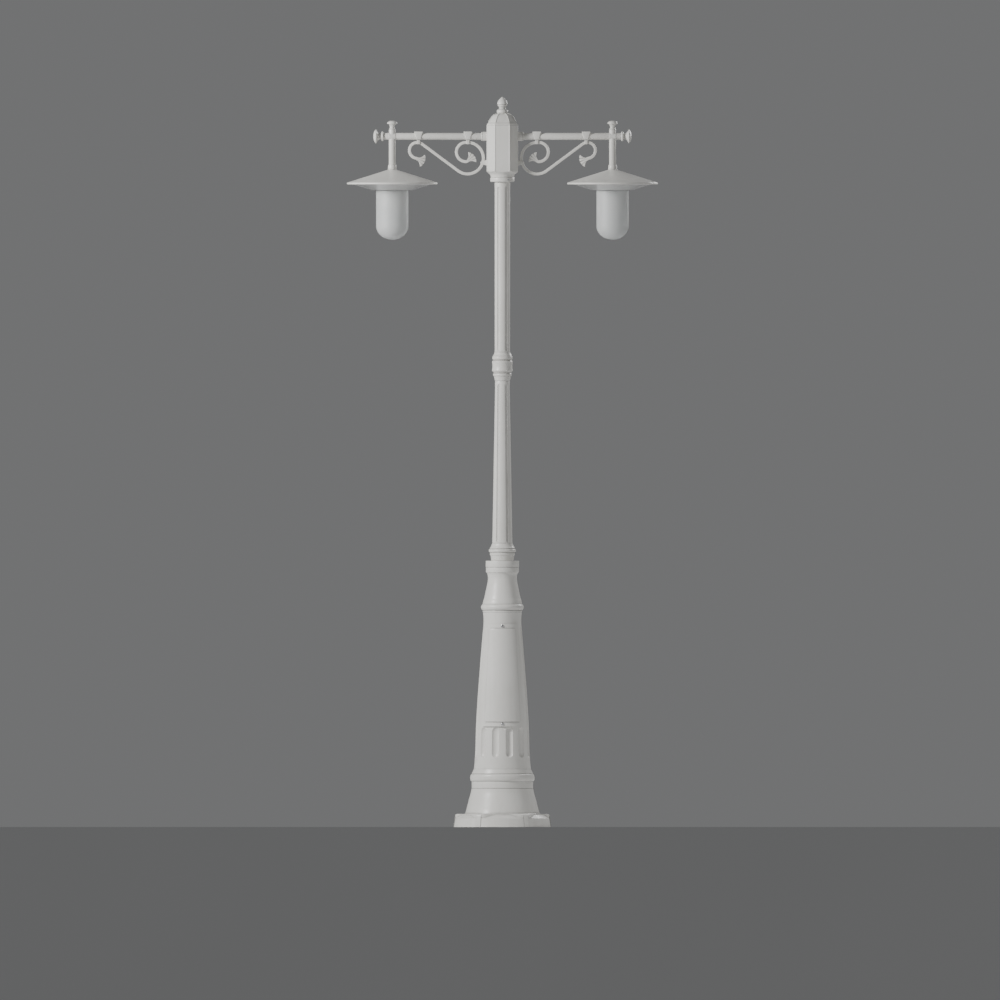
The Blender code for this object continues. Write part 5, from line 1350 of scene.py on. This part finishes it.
cup = turn_on_lathe(
    "right_socket_cup",
    ease([(0.0108, 2.0780), (0.0108, 2.0708), (0.0138, 2.0708), (0.0138, 2.0736), (0.0131, 2.0741),
          (0.0131, 2.0748), (0.0135, 2.0752),
          (0.0127, 2.0842), (0.0120, 2.0857), (0.0108, 2.0859), (0.0108, 2.0790)], 0.0004),
    80,
)
hang_pair(cup, "stem_socket", "head", "powder_coat", coat)

shade = turn_on_lathe(
    "right_cone_shade",
    [(0.0109, 2.0690), (0.0109, 2.0703), (0.0134, 2.0703), (0.0142, 2.0701)]
    + straight((0.0142, 2.0701), (0.1384, 2.0310))
    + [(0.1394, 2.0304), (0.1404, 2.0303)]
    + [(0.1400 + 0.0030 * math.sin(a), 2.0271 + 0.0032 * math.cos(a))
       for a in [math.pi * step / 12 for step in range(1, 12)]]
    + [(0.1398, 2.0239), (0.1384, 2.0240), (0.1380, 2.0246), (0.1380, 2.0290)]
    + straight((0.1380, 2.0290), (0.0156, 2.0680)),
    144,
)
hang_pair(shade, "shade", "head", "powder_coat", coat, crease=24)


def white_enamel():
    """Glossy white stove enamel: slight waves, a faint cream tone and a few pinholes."""
    made, tree, shader = start_finish("white_enamel")
    tone = ramp(tree, grain(tree, 12.0), (0.3, (0.83, 0.83, 0.81)), (0.7, (0.89, 0.89, 0.88)))
    holes = add_node(tree, "ShaderNodeTexVoronoi", {"feature": "DISTANCE_TO_EDGE"},
                     Vector=on_object(tree), Scale=140.0)
    specked = mix(tree, between(tree, grain(tree, 420.0, 1.0), 0.74, 0.80, 0.0, 0.6), tone,
                  (0.38, 0.36, 0.32))
    tree.links.new(specked, shader.inputs["Base Color"])
    set_roughness(tree, shader, 50.0, 0.12, 0.22)
    waves = (grain(tree, 70.0, 1.0), 0.15, 0.0004)
    fine = (holes.outputs["Distance"], 0.05, 0.0001)
    set_relief(tree, shader, waves, fine)
    shader.inputs["Coat Weight"].default_value = 0.5
    shader.inputs["Coat Roughness"].default_value = 0.05
    return made


enamel = white_enamel()
dish = turn_on_lathe(
    "right_light_dish",
    ease([(0.1370, 2.0239), (0.1376, 2.0240), (0.1376, 2.0256), (0.1228, 2.0256), (0.0640, 2.0079),
          (0.0518, 2.0079), (0.0512, 2.0076),
          (0.0512, 2.0064), (0.0518, 2.0061), (0.0640, 2.0061), (0.1229, 2.0238)], 0.0020)
    + [(0.1300, 2.0239)],
    144,
)
hang_pair(dish, "dish", "head", "white_enamel", enamel, crease=24)


# ---- Glass jars ----
# A threaded gallery ring over the dish takes each jar's neck, against a rubber seal. The jar is
# moulded glass, satin-etched all over, with a straight side and a round end.

gallery = turn_on_lathe(
    "right_gallery_ring",
    [(0.0514, 2.0083)]
    + ease([(0.0514, 2.0083), (0.0556, 2.0083), (0.0556, 2.0282), (0.0447, 2.0282),
            (0.0447, 2.0264), (0.0516, 2.0264)], 0.0005)
    + threaded(0.0514, 2.0100, 2.0255, 0.0030, -0.0007)[::-1],
    112,
)
hang_pair(gallery, "glass_gallery", "head", "powder_coat", coat, crease=24)

seal_ring = turn_on_lathe(
    "right_jar_seal", ease([(0.0458, 2.0250), (0.0458, 2.0243), (0.0501, 2.0243), (0.0501, 2.0262),
                            (0.0458, 2.0262), (0.0458, 2.0252)], 0.0004), 96
)
hang_pair(seal_ring, "glass_seal", "head", "rubber_seal", rubber)


def frosted_glass():
    """Satin-etched glass: it passes a soft white light and hides what is behind it."""
    made, tree, shader = start_finish("frosted_glass")
    tone = ramp(tree, grain(tree, 18.0), (0.3, (0.90, 0.92, 0.915)), (0.7, (0.96, 0.97, 0.965)))
    tree.links.new(tone, shader.inputs["Base Color"])
    shader.inputs["Transmission Weight"].default_value = 0.55
    shader.inputs["IOR"].default_value = 1.45
    set_roughness(tree, shader, 60.0, 0.40, 0.50)
    etched = (grain(tree, 1800.0, 2.0), 0.15, 0.0001)
    flowed = (grain(tree, 1.0, 2.0, (40.0, 40.0, 9.0)), 0.10, 0.0006)
    set_relief(tree, shader, etched, flowed)
    shader.inputs["Coat Weight"].default_value = 0.15
    shader.inputs["Coat Roughness"].default_value = 0.2
    return made


satin_glass = frosted_glass()
JAR_RADIUS, JAR_BORE, JAR_SPRING = 0.0507, 0.0477, 1.8931


def round_end(radius, depth):
    """The jar's round end, from its lowest point up to where its straight side springs."""
    angles = [math.pi / 2 * step / 24 for step in range(25)]
    return [(radius * math.sin(a), JAR_SPRING - depth * math.cos(a)) for a in angles]


jar = turn_on_lathe(
    "right_satin_jar",
    round_end(JAR_RADIUS, 0.0431)
    + [(JAR_RADIUS, JAR_SPRING + 0.0141 * step) for step in range(1, 8)]
    + [(JAR_RADIUS, 2.0050), (0.0503, 2.0070), (0.0500, 2.0090)]
    + threaded(0.0506, 2.0098, 2.0212, 0.0030, 0.0006)
    + [(0.0500, 2.0220), (0.0502, 2.0233), (0.0496, 2.0238), (0.0484, 2.0238), (JAR_BORE, 2.0232)]
    + [(JAR_BORE, 2.0050 - 0.0140 * step) for step in range(8)]
    + round_end(JAR_BORE, 0.0401)[::-1],
    112,
)
hang_pair(jar, "glass_jar", "{side}_jar", "frosted_glass", satin_glass)


# ---- Lamp holders and bulbs ----
# A glazed ceramic holder hangs on the end of each drop pipe. An opal bulb with a threaded metal
# cap screws up into it.


def glazed_ceramic():
    """Off-white electrical porcelain with a thin glaze and small iron specks."""
    made, tree, shader = start_finish("ceramic")
    tone = ramp(tree, grain(tree, 30.0), (0.3, (0.78, 0.76, 0.70)), (0.7, (0.86, 0.84, 0.79)))
    specked = mix(tree, between(tree, grain(tree, 500.0, 1.0), 0.72, 0.80, 0.0, 0.7), tone,
                  (0.35, 0.27, 0.19))
    tree.links.new(specked, shader.inputs["Base Color"])
    set_roughness(tree, shader, 90.0, 0.18, 0.32)
    set_relief(tree, shader, (grain(tree, 140.0), 0.15, 0.0003))
    return made


ceramic = glazed_ceramic()
holder = turn_on_lathe(
    "right_porcelain_holder",
    [(0.0, 2.0568)]
    + ease([(0.0, 2.0568), (0.0112, 2.0568), (0.0124, 2.0512), (0.0188, 2.0470), (0.0200, 2.0452),
            (0.0200, 2.0380), (0.0192, 2.0374),
            (0.0192, 2.0362), (0.0200, 2.0356), (0.0200, 2.0190), (0.0194, 2.0184),
            (0.0194, 2.0172), (0.0200, 2.0166),
            (0.0200, 2.0116), (0.0146, 2.0116), (0.0144, 2.0150)], 0.0008)
    + threaded(0.0140, 2.0160, 2.0440, 0.0036, -0.0006)
    + [(0.0140, 2.0462), (0.0, 2.0462)],
    72,
)
hang_pair(holder, "lamp_holder", "head", "ceramic", ceramic)


def opal_glass():
    """Opal bulb glass: white, soft and evenly bright, with a smooth surface."""
    made, tree, shader = start_finish("bulb_glass")
    tone = ramp(tree, grain(tree, 20.0), (0.3, (0.90, 0.88, 0.82)), (0.7, (0.95, 0.94, 0.89)))
    tree.links.new(tone, shader.inputs["Base Color"])
    set_roughness(tree, shader, 70.0, 0.10, 0.18)
    shader.inputs["Transmission Weight"].default_value = 0.25
    set_relief(tree, shader, (grain(tree, 60.0), 0.05, 0.0003))
    return made


opal = opal_glass()
bulb = turn_on_lathe(
    "right_opal_bulb",
    [(0.0, 2.0140), (0.0124, 2.0140), (0.0130, 2.0128)]
    + flow([(0.0134, 2.0118), (0.0141, 2.0092), (0.0156, 2.0040), (0.0186, 1.9965),
            (0.0228, 1.9880), (0.0266, 1.9800), (0.0290, 1.9725),
            (0.0300, 1.9652)], 4)
    + [(0.0300 * math.cos(a), 1.9652 - 0.0300 * math.sin(a))
       for a in [math.pi / 2 * step / 16 for step in range(1, 16)]]
    + [(0.0, 1.9352)],
    80,
)
hang_pair(bulb, "bulb", "{side}_lamp", "bulb_glass", opal)

bulb_cap = turn_on_lathe(
    "right_bulb_cap",
    [(0.0, 2.0142), (0.0128, 2.0142)]
    + threaded(0.0132, 2.0146, 2.0368, 0.0036, 0.0009)
    + ease([(0.0122, 2.0376), (0.0118, 2.0384), (0.0072, 2.0412), (0.0060, 2.0416),
            (0.0056, 2.0428), (0.0, 2.0431)], 0.0005),
    56,
)
hang_pair(bulb_cap, None, "{side}_lamp", "zinc_plate", zinc)


# ---- Floor, light and camera ----
# The post stands on a plain pale floor in soft studio light. The camera looks straight at its
# front, without perspective.

FLOOR_SIZE, FLOOR_DEPTH = 30.0, 1.2
FRAME_SIZE, CAMERA_AWAY = 3.15, 17.0

clear_selection()
bpy.ops.mesh.primitive_cube_add(size=1, location=(0, 0, -FLOOR_DEPTH / 2))
floor = bpy.context.object
floor.name = "studio_floor"
floor.scale = (FLOOR_SIZE, FLOOR_SIZE, FLOOR_DEPTH)
bpy.ops.object.transform_apply(location=True, rotation=True, scale=True)
use_modifier(floor, "BEVEL", width=0.004, segments=2, limit_method="ANGLE")
floor_paint, tree, shader = start_finish("studio_floor")
floor_tone = ramp(tree, grain(tree, 0.8), (0.3, (0.74, 0.74, 0.74)), (0.7, (0.76, 0.76, 0.76)))
tree.links.new(floor_tone, shader.inputs["Base Color"])
shader.inputs["Roughness"].default_value = 0.9
floor.data.materials.append(floor_paint)

world = bpy.data.worlds.new("studio")
bpy.context.scene.world = world
world.use_nodes = True
sky = world.node_tree.nodes["Background"]
sky.inputs["Color"].default_value = (0.98, 0.99, 1.0, 1.0)
sky.inputs["Strength"].default_value = 0.17


def soft_light(name, place, aim, size, power):
    """A large square light, hidden from the camera, turned towards a point."""
    clear_selection()
    bpy.ops.object.light_add(type="AREA", location=place)
    light = bpy.context.object
    light.name = name
    light.data.shape, light.data.size, light.data.energy = "SQUARE", size, power
    light.visible_camera = False
    x, y, z = (b - a for a, b in zip(place, aim))
    light.rotation_euler = (math.atan2(math.hypot(x, y), -z), 0, math.atan2(-x, y))
    return light


soft_light("key_light", (-3.6, -2.2, 3.0), (0, 0, 1.2), 0.9, 230)
soft_light("fill_light", (3.4, -2.4, 1.4), (0, 0, 1.2), 2.4, 14)
soft_light("rim_light", (2.0, 2.6, 3.0), (0, 0, 1.4), 1.6, 60)

clear_selection()
bpy.ops.object.camera_add(location=(-0.0075, -CAMERA_AWAY, 1.030), rotation=(math.pi / 2, 0, 0))
camera = bpy.context.object
camera.name = "front_camera"
camera.data.type = "ORTHO"
camera.data.ortho_scale = FRAME_SIZE
camera.data.clip_end = 60
bpy.context.scene.camera = camera
